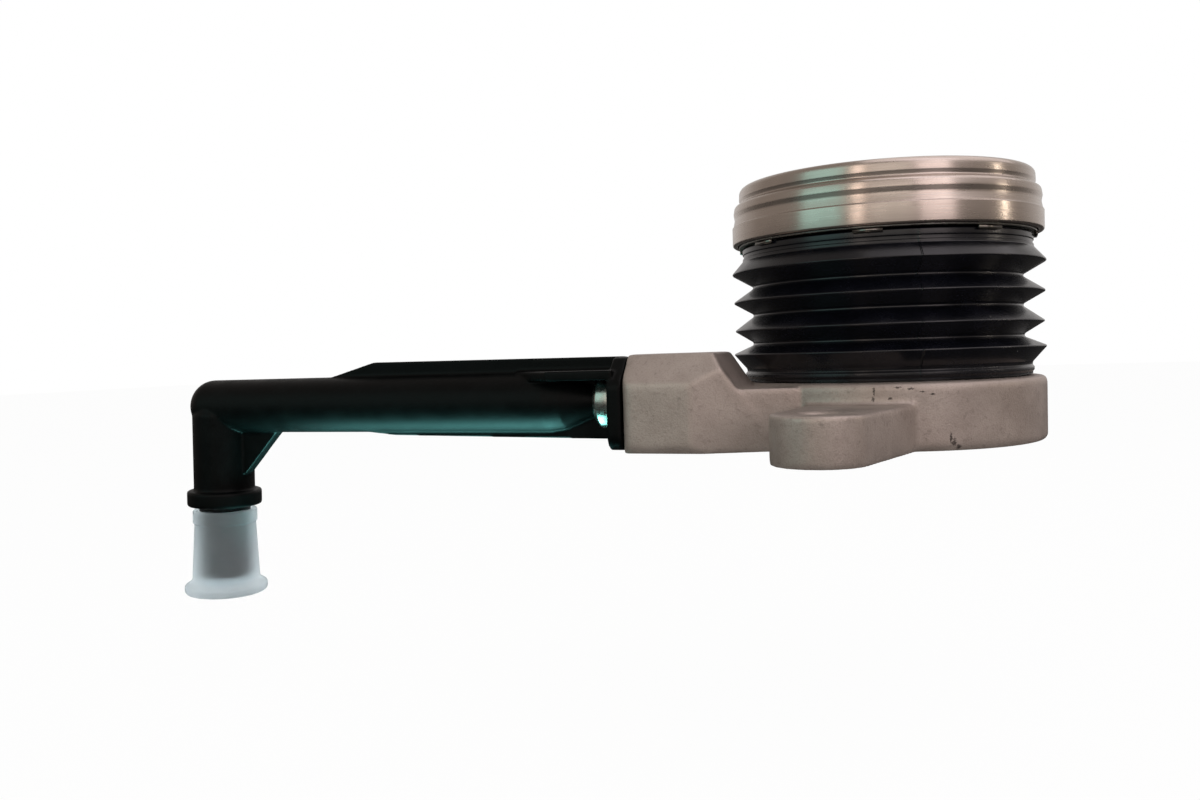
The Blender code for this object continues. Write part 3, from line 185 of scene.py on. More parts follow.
def spots(tree, place, marks, ragged):
    """0 away from every mark and 1 on one. A mark is a point, a half width and a half height."""
    total = None
    for point, wide, tall in marks:
        apart = vector_node(tree, "SUBTRACT", place, point)
        sized = vector_node(tree, "MULTIPLY", apart, (1 / wide, 1 / wide, 1 / tall))
        reach = vector_node(tree, "LENGTH", sized, result="Value")
        ragged_reach = math_node(tree, "MULTIPLY_ADD", ragged, RAGGEDNESS, reach)
        mark = spread(tree, ragged_reach, *SCUFF_EDGE, 1.0, 0.0)
        total = mark if total is None else math_node(tree, "MAXIMUM", total, mark)
    return total


def die_cast():
    material, tree, shader, place = fresh("die_cast_aluminium")
    clouds = noise(tree, place, 8.0)
    grain = noise(tree, place, 0.3, 2.0)
    pits = noise(tree, place, 0.8, 4.0, 0.7)
    tone = two_tone(tree, clouds, 0.35, 0.65, "#9c9088", "#ab9f97")
    grainy = mix_colour(tree, spread(tree, grain, 0.3, 0.5, 0.25, 0), tone, linear("#6d625d"))
    grime = spread(tree, noise(tree, place, 1.6, 5.0, 0.75), 0.56, 0.7, 0, 0.38)
    stained = mix_colour(tree, grime, grainy, linear("#5c5350"))
    dirt = spots(tree, place, SCUFFS, noise(tree, place, 0.35, 4.0, 0.7))
    colour = mix_colour(tree, math_node(tree, "MULTIPLY", dirt, 0.85), stained, linear("#2b2522"))
    rough = spread(tree, clouds, 0.3, 0.7, 0.42, 0.52)
    normal = bump(tree, grain, 0.028, bump(tree, pits, 0.06))
    fill(tree, shader, Base_Color=colour, Metallic=0.6, Roughness=rough, Normal=normal)
    return material


casting_finish = die_cast()
print("casting finish:", len(casting_finish.node_tree.nodes), "nodes")

# %% [markdown]
# ## Finish of the machined aluminium
# The piston's seal runs on the cylinder wall, so the wall is bored after casting. A cutter leaves
# clean, bright metal with fine rings, so the same alloy is paler and smoother here.

# %% Machined aluminium
def machined():
    material, tree, shader, place = fresh("machined_aluminium")
    lines = noise(tree, vector_node(tree, "MULTIPLY", place, (0.6, 0.6, 6.0)), 0.5, 2.0)
    colour = mix_colour(tree, lines, linear("#cdc7c0"), linear("#e4e0da"))
    fill(
        tree, shader, Base_Color=colour, Metallic=0.9, Normal=bump(tree, lines, 0.01),
        Roughness=spread(tree, lines, 0.3, 0.7, 0.24, 0.4))
    return material


machined_finish = machined()
print("machined finish:", len(machined_finish.node_tree.nodes), "nodes")

# %% [markdown]
# ## Finish of the pressed steel
# The bearing's cover is deep-drawn steel, polished on a lathe. The polish leaves very fine lines
# round the axis, and they smear each light into a soft band. Noise in cylinder coordinates,
# stretched round the axis, gives the lines. An anisotropic shader does the smearing.

# %% Turned steel
def round_the_axis(tree, place, along, across):
    """Position as (angle, radius, height), stretched so that noise runs round the Z axis."""
    parts = add(tree, "ShaderNodeSeparateXYZ", {0: place}).outputs
    angle = math_node(tree, "ARCTAN2", parts["Y"], parts["X"])
    radius = vector_node(
        tree, "LENGTH", vector_node(tree, "MULTIPLY", place, (1, 1, 0)), result="Value")
    sized = [math_node(tree, "MULTIPLY", value, scale) for value, scale in (
        (angle, along), (radius, across), (parts["Z"], across))]
    return add(tree, "ShaderNodeCombineXYZ", dict(enumerate(sized))).outputs[0]


def turned_steel(name, dark, pale, rough_low, rough_high, anisotropic=0.5):
    material, tree, shader, place = fresh(name)
    lines = noise(tree, round_the_axis(tree, place, 4.0, 9.0), 1.0, 3.0, 0.6)
    bands = noise(tree, round_the_axis(tree, place, 0.8, 1.2), 1.0, 2.0)
    film = noise(tree, place, 7.0)
    tone = two_tone(tree, lines, 0.3, 0.7, dark, pale)
    colour = mix_colour(tree, spread(tree, film, 0.4, 0.75, 0, 0.35), tone, linear(dark))
    rough = math_node(
        tree, "ADD", spread(tree, bands, 0.3, 0.7, rough_low, rough_high),
        spread(tree, film, 0.45, 0.7, 0.0, 0.04))
    tangent = add(tree, "ShaderNodeTangent", direction_type="RADIAL", axis="Z").outputs[0]
    fill(
        tree, shader, Base_Color=colour, Metallic=1.0, Roughness=rough, Anisotropic=anisotropic,
        Anisotropic_Rotation=0.25, Tangent=tangent, Normal=bump(tree, lines, 0.0015))
    return material


cover_finish = turned_steel("drawn_steel", "#b2a79e", "#beb3aa", 0.24, 0.29, 0.6)
race_finish = turned_steel("bearing_steel", "#8a8a8c", "#c9c9cb", 0.12, 0.2, 0.3)
spring_finish = turned_steel("spring_steel", "#3c3c3f", "#66666a", 0.28, 0.42, 0.2)
tube_finish = turned_steel("tube_steel", "#76716b", "#a9a49c", 0.24, 0.36)
zinc_finish = turned_steel("zinc_plate", "#9b9b95", "#c6c5be", 0.2, 0.32, 0.2)
print("steel finishes: cover, races, springs, tube and ferrule")

# %% [markdown]
# ## Finish of the rubber
# The bellows is black rubber from a two-part mould. The halves leave one fine line down each side,
# the skin has a soft bloom, and dust sticks to it as tiny pale specks. Voronoi cells scatter the
# specks: only cells whose random colour is high carry one.

# %% Black rubber
PARTING_ANGLE = math.radians(-72.3)


def specks(tree, place, cell_mm, size_mm, share):
    """1 on small round specks. `share` is the part of the cells that carry one."""
    cells = add(tree, "ShaderNodeTexVoronoi", {"Vector": place, "Scale": 1 / cell_mm})
    near = spread(tree, cells.outputs["Distance"], size_mm / cell_mm * 0.5, size_mm / cell_mm, 1, 0)
    lot = add(tree, "ShaderNodeSeparateColor", {0: cells.outputs["Color"]}).outputs[0]
    chosen = math_node(tree, "GREATER_THAN", lot, 1 - share)
    return math_node(tree, "MULTIPLY", near, chosen)


def moulded_rubber(name, with_seam):
    material, tree, shader, place = fresh(name)
    bloom = noise(tree, place, 6.0, 4.0, 0.6)
    skin = noise(tree, place, 0.35, 2.0)
    dust = specks(tree, place, 2.4, 0.11, 0.09)
    base = two_tone(tree, bloom, 0.35, 0.7, "#040509", "#090a11")
    colour = mix_colour(tree, math_node(tree, "MULTIPLY", dust, 0.8), base, linear("#a8aaa6"))
    dusty = math_node(tree, "MULTIPLY", dust, 0.3)
    rough = math_node(tree, "ADD", spread(tree, bloom, 0.3, 0.7, 0.19, 0.3), dusty)
    normal = bump(tree, skin, 0.015)
    if with_seam:
        parts = add(tree, "ShaderNodeSeparateXYZ", {0: place}).outputs
        across = math_node(
            tree, "SUBTRACT", math_node(tree, "MULTIPLY", parts["X"], math.sin(PARTING_ANGLE)),
            math_node(tree, "MULTIPLY", parts["Y"], math.cos(PARTING_ANGLE)))
        seam = spread(tree, math_node(tree, "ABSOLUTE", across), 0.05, 0.22, 1, 0)
        normal = bump(tree, seam, 0.12, normal)
    fill(tree, shader, Base_Color=colour, Roughness=rough, Normal=normal, Specular_IOR_Level=0.42)
    return material


boot_finish = moulded_rubber("bellows_rubber", True)
seal_finish = moulded_rubber("seal_rubber", False)
print("rubber finishes: bellows with its parting line, and seals")

# %% [markdown]
# ## Finish of the pipe
# The pipe is nylon filled with glass fibre. The mould is finely textured, so the black skin breaks
# the light into a grainy sheen, with a fibre swirl here and there. Two noises share that work.

# %% Black glass-filled nylon
def filled_nylon():
    material, tree, shader, place = fresh("black_nylon")
    texture = noise(tree, place, 0.28, 2.0)
    swirl = noise(tree, place, 5.0, 5.0, 0.65)
    dust = specks(tree, place, 3.2, 0.1, 0.07)
    base = two_tone(tree, swirl, 0.4, 0.7, "#020303", "#050707")
    colour = mix_colour(tree, math_node(tree, "MULTIPLY", dust, 0.7), base, linear("#8f9492"))
    rough = spread(tree, swirl, 0.3, 0.7, 0.38, 0.5)
    fill(
        tree, shader, Base_Color=colour, Roughness=rough, Specular_IOR_Level=0.09,
        Normal=bump(tree, texture, 0.03, bump(tree, swirl, 0.05)))
    return material


pipe_finish = filled_nylon()
print("pipe finish:", len(pipe_finish.node_tree.nodes), "nodes")

# %% [markdown]
# ## Finish of the cap, the piston and the cage
# The cap is natural polythene. It is milky: light passes but scatters, so the black spigot shows
# as a soft dark core. A rough transmission does that cheaply. The piston and the ball cage are
# undyed nylon, which is opaque and creamy.

# %% Milky polythene and natural nylon
def milky_polythene():
    material, tree, shader, place = fresh("milky_polythene")
    haze = noise(tree, place, 4.0, 3.0)
    colour = mix_colour(tree, haze, linear("#ced8dc"), linear("#e2e9ec"))
    fill(
        tree, shader, Base_Color=colour, Roughness=spread(tree, haze, 0.3, 0.7, 0.62, 0.74),
        IOR=1.25, Transmission_Weight=0.92)
    return material


def natural_nylon():
    material, tree, shader, place = fresh("natural_nylon")
    flow = noise(tree, place, 5.0, 4.0)
    colour = mix_colour(tree, flow, linear("#c9b98f"), linear("#ddd0ab"))
    fill(
        tree, shader, Base_Color=colour, Roughness=spread(tree, flow, 0.3, 0.7, 0.42, 0.55),
        Normal=bump(tree, noise(tree, place, 0.4), 0.01))
    return material


cap_finish = milky_polythene()
nylon_finish = natural_nylon()
print("cap and nylon finishes made")

# %% [markdown]
# ## Turned pieces
# Many pieces come off a lathe or out of a round press tool: one outline, spun about an axis.
# `rounded` gives corner points true arcs, and `turned` spins the outline. An outline is easy to
# change, and a spin gives even faces that shade cleanly.

# %% Outlines and spinning
def rounded(corners, steps=5):
    """Corners (radius, height, round) in mm to a closed outline with arcs at the round ones."""
    outline = []
    for i, (r, z, size) in enumerate(corners):
        here = Vector((r, z))
        if size <= 0:
            outline.append((r, z))
            continue
        before = Vector(corners[i - 1][:2]) - here
        after = Vector(corners[(i + 1) % len(corners)][:2]) - here
        half = before.angle(after) / 2
        reach = min(size / math.tan(half), 0.49 * before.length, 0.49 * after.length)
        radius = reach * math.tan(half)
        middle = (before.normalized() + after.normalized()).normalized()
        centre = here + middle * (radius / math.sin(half))
        start = here + before.normalized() * reach - centre
        end = here + after.normalized() * reach - centre
        turn = start.angle_signed(end)
        for k in range(steps + 1):
            a = -turn * k / steps
            x = start.x * math.cos(a) - start.y * math.sin(a)
            y = start.x * math.sin(a) + start.y * math.cos(a)
            outline.append((centre.x + x, centre.y + y))
    return outline


def new_object(name, data):
    """An object with this data, in the scene."""
    item = bpy.data.objects.new(name, data)
    bpy.context.scene.collection.objects.link(item)
    return item


def outward(bm):
    """Make every face look out of its solid."""
    bmesh.ops.recalc_face_normals(bm, faces=bm.faces)
    if bm.calc_volume(signed=True) < 0:
        bmesh.ops.reverse_faces(bm, faces=bm.faces)


def finished(name, bm, material, sharp=40):
    """A bmesh in millimetres becomes an object in metres, facing outwards and shaded smooth."""
    outward(bm)
    bm.transform(Matrix.Scale(MM, 4))
    mesh = bpy.data.meshes.new(name)
    bm.to_mesh(mesh)
    bm.free()
    mesh.materials.append(material)
    mesh.shade_smooth()
    mesh.set_sharp_from_angle(angle=math.radians(sharp))
    return new_object(name, mesh)


def turned(name, outline, material, steps=128, place=None):
    """Spin a closed (radius, height) outline about Z."""
    bm = bmesh.new()
    verts = [bm.verts.new((r, 0, z)) for r, z in outline]
    edges = []
    for i, (r, _) in enumerate(outline):
        if r > 0 or outline[(i + 1) % len(outline)][0] > 0:
            edges.append(bm.edges.new((verts[i], verts[(i + 1) % len(verts)])))
    bmesh.ops.spin(
        bm, geom=verts + edges, cent=(0, 0, 0), axis=(0, 0, 1), angle=math.tau, steps=steps,
        use_merge=True)
    bmesh.ops.remove_doubles(bm, verts=bm.verts, dist=0.0005)
    if place:
        bm.transform(place)
    return finished(name, bm, material)


def stand_in(item, body, slot, *cad_nodes):
    """Let a piece ride on a body in place of the frame's plain solids."""
    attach(item, body)
    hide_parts(*cad_nodes)
    print(f"{item.name}: {len(item.data.polygons)} faces on body {body}")


# %% [markdown]
# ## The release bearing's cover
# The photograph shows a crown, a fuller roll below it, a soft hollow and a plain upright band. All
# of that is one pressing, so it is one outline. The crown's round edge and the two creases carry
# the highlights, and get most of the points.

# %% Cover
COVER_BOTTOM = 42.8
COVER_TOP = 55.5
cover_corners = [
    (31.2, COVER_BOTTOM, 0.2), (32.3, COVER_BOTTOM, 0.5), (32.3, 46.9, 0.15), (32.05, 47.12, 0.15),
    (31.74, 48.7, 1.6), (31.98, 49.9, 1.2), (31.75, 51.35, 0.8), (30.5, 52.05, 0.35),
    (30.72, 53.0, 0.8), (30.6, COVER_TOP, 1.9), (21.6, COVER_TOP, 1.2), (21.6, 53.8, 0.1),
    (22.6, 53.8, 0.1), (22.7, 54.4, 0.3), (29.3, 54.4, 0.4), (29.3, 52.2, 0), (30.7, 49.6, 0.5),
    (31.2, 46.6, 0.3)]
cover = turned("bearing_cover_pressing", rounded(cover_corners, 6), cover_finish, 160)
stand_in(cover, "bearing", "pressed steel", "bearing_cover")

# %% [markdown]
# ## Inside the bearing
# Seen from above, the cover's mouth shows the piston's end, the clip that holds the inner race, and
# the guide sleeve down the middle. They are plain turned pieces with the frame's sizes, so a
# list of their corners is all they need.

# %% Sleeve, stop ring, piston and clip
sleeve_corners = [
    (13.5, 0.4, 0.5), (22.0, 0.4, 0.2), (22.0, 1.8, 0.2), (14.6, 1.8, 0.3), (14.6, 42.5, 0),
    (14.1, 42.5, 0), (14.1, 43.9, 0), (14.6, 43.9, 0), (14.6, 44.8, 0.25), (13.5, 44.8, 0.4)]
stop_corners = [(14.4, 42.8, 0), (15.9, 42.8, 0.3), (15.9, 43.6, 0.3), (14.4, 43.6, 0)]
piston_corners = [
    (14.9, 21.5, 0.3), (20.4, 21.5, 0.3), (20.4, 42.2, 0.3), (19.0, 42.2, 0), (19.0, 52.6, 0),
    (17.8, 52.6, 0), (17.8, 54.0, 0), (19.0, 54.0, 0), (19.0, 54.4, 0.2), (16.3, 54.4, 0.4),
    (16.3, 42.5, 0.4), (14.9, 42.5, 0.2)]
clip_corners = [(18.1, 52.9, 0.2), (20.8, 52.9, 0.25), (20.8, 53.7, 0.25), (18.1, 53.7, 0.2)]
for name, corners, finish, body, slot, node in (
        ("sleeve_tube", sleeve_corners, tube_finish, "housing", "pressed steel", "guide_sleeve"),
        ("stop_snap_ring", stop_corners, spring_finish, "housing", "spring steel", "stop_ring"),
        ("piston_moulding", piston_corners, nylon_finish, "piston", "natural nylon", "piston"),
        ("snap_ring", clip_corners, spring_finish, "piston", "spring steel", "bearing_clip")):
    stand_in(turned(name, rounded(corners, 3), finish, 96), body, slot, node)

# %% [markdown]
# ## The balls
# Things that repeat round a circle suit Geometry Nodes: one ball, a circle of points, one instance
# on each. The count and sizes are named inputs. The tree ends by realising the instances and
# setting the material, and the result becomes a plain mesh.

# %% A ring of repeated pieces
def start_tree(name, sockets):
    """A geometry tree with these named inputs and a finish: its inputs' values and its output."""
    tree = bpy.data.node_groups.new(name, "GeometryNodeTree")
    tree.interface.new_socket("Geometry", in_out="OUTPUT", socket_type="NodeSocketGeometry")
    for label, kind in {"Geometry": "Geometry", **sockets, "Finish": "Material"}.items():
        tree.interface.new_socket(label, in_out="INPUT", socket_type="NodeSocket" + kind)
    given = tree.nodes.new("NodeGroupInput").outputs
    return tree, given, tree.nodes.new("NodeGroupOutput").inputs[0]


def end_tree(tree, geometry, given, out):
    """Realise, shade and give the material, then join to the tree's output."""
    whole = add(tree, "GeometryNodeRealizeInstances", {"Geometry": geometry}).outputs[0]
    shaded = add(tree, "GeometryNodeSetShadeSmooth", {0: whole, "Shade Smooth": True}).outputs[0]
    finish = add(tree, "GeometryNodeSetMaterial", {
        "Geometry": shaded, "Material": given["Finish"]}).outputs[0]
    tree.links.new(finish, out)
    return tree


def ring_tree():
    """Spheres or small blocks on a circle about Z, each turned to face outwards."""
    tree, given, out = start_tree("pieces_round_a_ring", {
        "Count": "Int", "Ring radius": "Float", "Height": "Float", "Size": "Vector",
        "Round": "Bool"})
    circle = add(tree, "GeometryNodeMeshCircle", {
        "Vertices": given["Count"], "Radius": given["Ring radius"]}).outputs[0]
    lift = add(tree, "ShaderNodeCombineXYZ", {2: given["Height"]}).outputs[0]
    raised = add(tree, "GeometryNodeSetPosition", {"Geometry": circle, "Offset": lift}).outputs[0]
    position = add(tree, "GeometryNodeInputPosition").outputs[0]
    parts = add(tree, "ShaderNodeSeparateXYZ", {0: position}).outputs
    heading = math_node(tree, "ARCTAN2", parts[1], parts[0])
    turn = add(tree, "ShaderNodeCombineXYZ", {2: heading}).outputs[0]
    ball = add(tree, "GeometryNodeMeshIcoSphere", {"Radius": 1.0, "Subdivisions": 4}).outputs[0]
    block = add(tree, "GeometryNodeMeshCube", {"Size": (1, 1, 1)}).outputs[0]
    piece = add(tree, "GeometryNodeSwitch", {
        "Switch": given["Round"], "False": block, "True": ball}, input_type="GEOMETRY").outputs[0]
    placed = add(tree, "GeometryNodeInstanceOnPoints", {
        "Points": raised, "Instance": piece, "Rotation": turn, "Scale": given["Size"]}).outputs[0]
    return end_tree(tree, placed, given, out)


def baked(item):
    """Apply an object's modifiers to its mesh."""
    bpy.context.view_layer.update()
    graph = bpy.context.evaluated_depsgraph_get()
    mesh = bpy.data.meshes.new_from_object(item.evaluated_get(graph))
    item.modifiers.clear()
    item.data = mesh
    return item


def grow(name, tree, values, points=(), edges=()):
    """Run a geometry tree on these points with these named inputs, and keep a plain mesh."""
    item = new_object(name, bpy.data.meshes.new(name))
    item.data.from_pydata(points, edges, [])
    modifier = item.modifiers.new("nodes", "NODES")
    modifier.node_group = tree
    for socket in tree.interface.items_tree:
        if socket.item_type == "SOCKET" and socket.name in values:
            modifier[socket.identifier] = values[socket.name]
    return baked(item)


BALL_COUNT = 14
ring_of_pieces = ring_tree()
balls = grow("ball_row", ring_of_pieces, {
    "Count": BALL_COUNT, "Ring radius": 24.4 * MM, "Height": 49.0 * MM, "Size": (2.5 * MM,) * 3,
    "Round": True, "Finish": race_finish})
stand_in(balls, "ball_set", "bearing steel", *[
    f"ball_{k:02d}" for k in range(1, BALL_COUNT + 1)])

# %% [markdown]
# ## The bearing carrier
# Under the cover, small bright tabs of the carrier plate catch the light. The plate is turned, and
# the same ring tree sets eight little tabs under its rim.

# %% Carrier and tabs
carrier_outline = rounded([
    (19.3, 42.5, 0.2), (30.9, 42.5, 0.2), (30.9, 43.5, 0.2), (19.3, 43.5, 0.2)], 3)
carrier = turned("carrier_plate", carrier_outline, zinc_finish, 128)
stand_in(carrier, "piston", "pressed steel", "bearing_carrier")
tabs = grow("carrier_tabs", ring_of_pieces, {
    "Count": 8, "Ring radius": 30.6 * MM, "Height": 42.15 * MM,
    "Size": (0.6 * MM, 5.6 * MM, 0.9 * MM), "Round": False, "Finish": tube_finish})
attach(tabs, "piston")
print("tabs:", len(tabs.data.polygons), "faces")

# %% [markdown]
# ## The bellows
# The boot follows a rule: a folded line of even wall thickness, swept round the shaft. So the line
# is drawn once, and a geometry tree sweeps it along a circle. The folds' tips are where the light
# breaks, so each one gets a small true radius.

# %% Bellows outline
BOOT_FOOT = 13.5
BOOT_LENGTH = 28.7
BOOT_TOP = BOOT_FOOT + BOOT_LENGTH
BOOT_WALL = 0.8
BEAD_FOOT = 12.0
FOLDS = ((0.199, 32.65), (0.376, 32.35), (0.592, 32.55), (0.808, 32.7))
ROOTS = (0.275, 0.495, 0.707)
ROOT_RADIUS = 27.7


def height(share):
    """How high a point at this share of the boot's length is."""
    return BOOT_FOOT + BOOT_LENGTH * share


def boot_line():
    """The outside of the boot from foot to neck: (radius, height, round)."""
    line = [(29.8, height(0.0), 0), (29.8, height(0.015), 0.2), (30.1, height(0.03), 0.15),
            (30.1, height(0.05), 0.15), (29.75, height(0.065), 0.3), (29.8, height(0.085), 0.3)]
    for i, (share, radius) in enumerate(FOLDS):
        line.append((radius, height(share), 0.28))
        if i < len(ROOTS):
            line.append((ROOT_RADIUS, height(ROOTS[i]), 0.5))
    line += [(30.25, height(0.905), 0.6), (30.2, height(0.925), 0.1), (30.0, height(0.928), 0.1),
             (30.0, height(0.952), 0.1), (30.2, height(0.956), 0.1), (30.2, height(1.0), 0.3)]
    return line


def boot_outline():
    """The closed section: the folded line, the carrier's flange, the inside and the bead."""
    outside = boot_line()
    inside = [(29.0, BOOT_FOOT + BOOT_WALL, 0)]
    for i, (share, radius) in enumerate(FOLDS):
        inside.append((radius - 1.05, height(share), 0.3))
        if i < len(ROOTS):
            inside.append((ROOT_RADIUS - 1.0, height(ROOTS[i]), 0.3))
    inside.append((29.4, height(0.905), 0.3))
    flange = [(27.4, BOOT_TOP, 0.2), (27.4, BOOT_TOP - 1.0, 0.2), (29.4, BOOT_TOP - 1.0, 0)]
    bead = [
        (27.2, BOOT_FOOT + BOOT_WALL, 0), (27.2, BEAD_FOOT, 0.3), (28.3, BEAD_FOOT, 0.3),
        (28.3, BOOT_FOOT, 0)]
    return rounded(outside + flange + inside[::-1] + bead, 4)


print("points in the boot's section:", len(boot_outline()))

# %% [markdown]
# Curve to Mesh sweeps one curve along another. The section, drawn as a loop of edges, is the
# profile. The path is a small circle round the axis, and the section is drawn nearer to the axis
# by that circle's radius, so every radius comes out true.

# %% Sweep the bellows
PATH_RADIUS = 1.0


def sweep_tree():
    """Sweep the input loop, drawn in X and Y, round the Z axis."""
    tree, given, out = start_tree("section_round_an_axis", {
        "Segments": "Int", "Path radius": "Float"})
    section = add(tree, "GeometryNodeMeshToCurve", {"Mesh": given["Geometry"]}).outputs[0]
    path = add(tree, "GeometryNodeCurvePrimitiveCircle", {
        "Resolution": given["Segments"], "Radius": given["Path radius"]}).outputs[0]
    sweep = add(tree, "GeometryNodeCurveToMesh", {"Curve": path, "Profile Curve": section})
    return end_tree(tree, sweep.outputs[0], given, out)


def swept(name, outline, material, segments=192):
    """Draw an (r, z) outline as a loop, and sweep it round Z."""
    points = [((r - PATH_RADIUS) * MM, -z * MM, 0) for r, z in outline]
    edges = [(i, (i + 1) % len(points)) for i in range(len(points))]
    item = grow(name, sweep_tree(), {
        "Segments": segments, "Path radius": PATH_RADIUS * MM, "Finish": material}, points, edges)
    bm = bmesh.new()
    bm.from_mesh(item.data)
    bmesh.ops.remove_doubles(bm, verts=bm.verts, dist=1e-7)
    outward(bm)
    bm.to_mesh(item.data)
    bm.free()
    item.data.set_sharp_from_angle(angle=math.radians(60))
    return item


boot = swept("bellows_boot", boot_outline(), boot_finish)
heights = [v.co.z for v in boot.data.vertices]
print("bellows from", round(min(heights) / MM, 2), "to", round(max(heights) / MM, 2), "mm")
stand_in(boot, "housing", "black rubber", "bellows")
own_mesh(boot)

# %% [markdown]
# ## The preload spring
# A coil spring is a path too: a wire swept along a helix. Its end turns lie almost flat, so the
# height rises slowly in the first and last turn and faster between them.

# %% Spring
def coil_tree():
    """A round wire along a helix whose end turns lie flat."""
    tree, given, out = start_tree("coil_spring", {
        "Turns": "Float", "Coil radius": "Float", "Foot": "Float", "Head": "Float",
        "Wire radius": "Float"})
    line = add(tree, "GeometryNodeCurvePrimitiveLine", {"Start": (0, 0, 0), "End": (0, 0, 1)})
    points = add(tree, "GeometryNodeResampleCurve", {"Curve": line.outputs[0], "Count": 300})
    share = add(tree, "GeometryNodeSplineParameter").outputs["Factor"]
    turns = math_node(tree, "MULTIPLY", share, given["Turns"])
    last = math_node(tree, "SUBTRACT", given["Turns"], 1.0)
    angle = math_node(tree, "MULTIPLY", turns, math.tau)
    free = spread(tree, turns, 1.0, last, 0.0, 1.0)
    low = math_node(tree, "MINIMUM", turns, 1.0)
    high = math_node(tree, "MAXIMUM", math_node(tree, "SUBTRACT", turns, last), 0.0)
    flat = math_node(tree, "MULTIPLY", given["Wire radius"], 2.3)
    span = math_node(tree, "SUBTRACT", given["Head"], given["Foot"])
    open_span = math_node(tree, "SUBTRACT", span, math_node(tree, "MULTIPLY", flat, 2.0))
    open_rise = math_node(tree, "MULTIPLY_ADD", free, open_span, given["Foot"])
    rise = math_node(tree, "MULTIPLY_ADD", math_node(tree, "ADD", low, high), flat, open_rise)
    x, y = (
        math_node(tree, "MULTIPLY", math_node(tree, part, angle), given["Coil radius"])
        for part in ("COSINE", "SINE"))
    place = add(tree, "ShaderNodeCombineXYZ", {0: x, 1: y, 2: rise}).outputs[0]
    helix = add(tree, "GeometryNodeSetPosition", {"Geometry": points.outputs[0], "Position": place})
    wire = add(tree, "GeometryNodeCurvePrimitiveCircle", {
        "Resolution": 12, "Radius": given["Wire radius"]})
    solid = add(tree, "GeometryNodeCurveToMesh", {
        "Curve": helix.outputs[0], "Profile Curve": wire.outputs[0], "Fill Caps": True})
    return end_tree(tree, solid.outputs[0], given, out)


spring = grow("coil_spring", coil_tree(), {
    "Turns": 6.0, "Coil radius": 24.8 * MM, "Foot": 13.0 * MM, "Head": 41.2 * MM,
    "Wire radius": 1.0 * MM, "Finish": spring_finish})
stand_in(spring, "housing", "spring steel", "preload_spring")
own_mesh(spring)

# %% [markdown]
# ## Joining cast and moulded forms
# A casting has no knife edges: where two forms meet, the die gives them a small radius. So the
# forms are joined with Booleans, the whole is skinned anew in tiny voxels, and a few rounds of
# smoothing soften every edge and corner alike. Machined holes are cut after that, and stay crisp.
# A last weld closes the hair-thin slivers that a cut leaves in such a fine skin.

# %% Booleans and softening
def combine(item, tools, operation):
    """Join or cut with each tool in turn, and remove the tools."""
    for tool in tools:
        modifier = item.modifiers.new("combine", "BOOLEAN")
        modifier.operation = operation
        modifier.solver = "EXACT"
        modifier.object = tool
        baked(item)
        bpy.data.objects.remove(tool, do_unlink=True)
    return item


def welded(item, gap_mm=0.002):
    """Merge points that lie closer together than this gap."""
    bm = bmesh.new()
    bm.from_mesh(item.data)
    bmesh.ops.remove_doubles(bm, verts=bm.verts, dist=gap_mm * MM)
    bmesh.ops.dissolve_degenerate(bm, dist=gap_mm * MM, edges=bm.edges)
    bm.to_mesh(item.data)
    bm.free()
    return item


def softened(item, voxel_mm, rounds, keep):
    """Skin a form in voxels of this size, smooth it, and thin the faces to this share."""
    skin = item.modifiers.new("skin", "REMESH")
    skin.mode = "VOXEL"
    skin.voxel_size = voxel_mm * MM
    smooth = item.modifiers.new("smooth", "SMOOTH")
    smooth.factor = 0.5
    smooth.iterations = rounds
    thin = item.modifiers.new("thin", "DECIMATE")
    thin.ratio = keep
    return baked(item)


def crisp(item, name, sharp=50):
    """Name a softened form, and keep only its cut edges sharp."""
    item.data.shade_smooth()
    item.data.set_sharp_from_angle(angle=math.radians(sharp))
    item.name = name
    return item


def prism(name, outline, low, high, material, place=None):
    """Extrude an (x, y) outline in millimetres between two heights."""
    bm = bmesh.new()
    face = bm.faces.new([bm.verts.new((x, y, low)) for x, y in outline])
    top = bmesh.ops.extrude_face_region(bm, geom=[face])["geom"]
    raised = [v for v in top if isinstance(v, bmesh.types.BMVert)]
    bmesh.ops.translate(bm, verts=raised, vec=(0, 0, high - low))
    if place:
        bm.transform(place)
    return finished(name, bm, material)


def rod(name, start, end, radius, material, steps=48):
    """A round cutter between two points in millimetres."""
    start, end = Vector(start), Vector(end)
    way = end - start
    turn = way.to_track_quat("Z", "Y").to_matrix().to_4x4()
    outline = [(0, 0), (radius, 0), (radius, way.length), (0, way.length)]
    return turned(name, outline, material, steps, Matrix.Translation(start) @ turn)


# %% [markdown]
# ## The casting
# The ring that stands on the gearbox, the two lugs and the port block are one casting. The ring is
# turned, each lug is an outline pulled up to its bolt face, and the block is a box with its slopes
# sliced off, as a die maker would cut the cavity.

# %% Ring and lugs
RING_RADIUS = 32.5
TROUGH_RADIUS, TROUGH_FLOOR = 28.6, 10.6
CYLINDER_BORE, CYLINDER_OUTSIDE = 20.7, 23.1
CHAMBER_FLOOR = 5.0
LUG_ANGLE = -96.9
LUG_REACH = 52.8
LUG_ROUND = 8.8


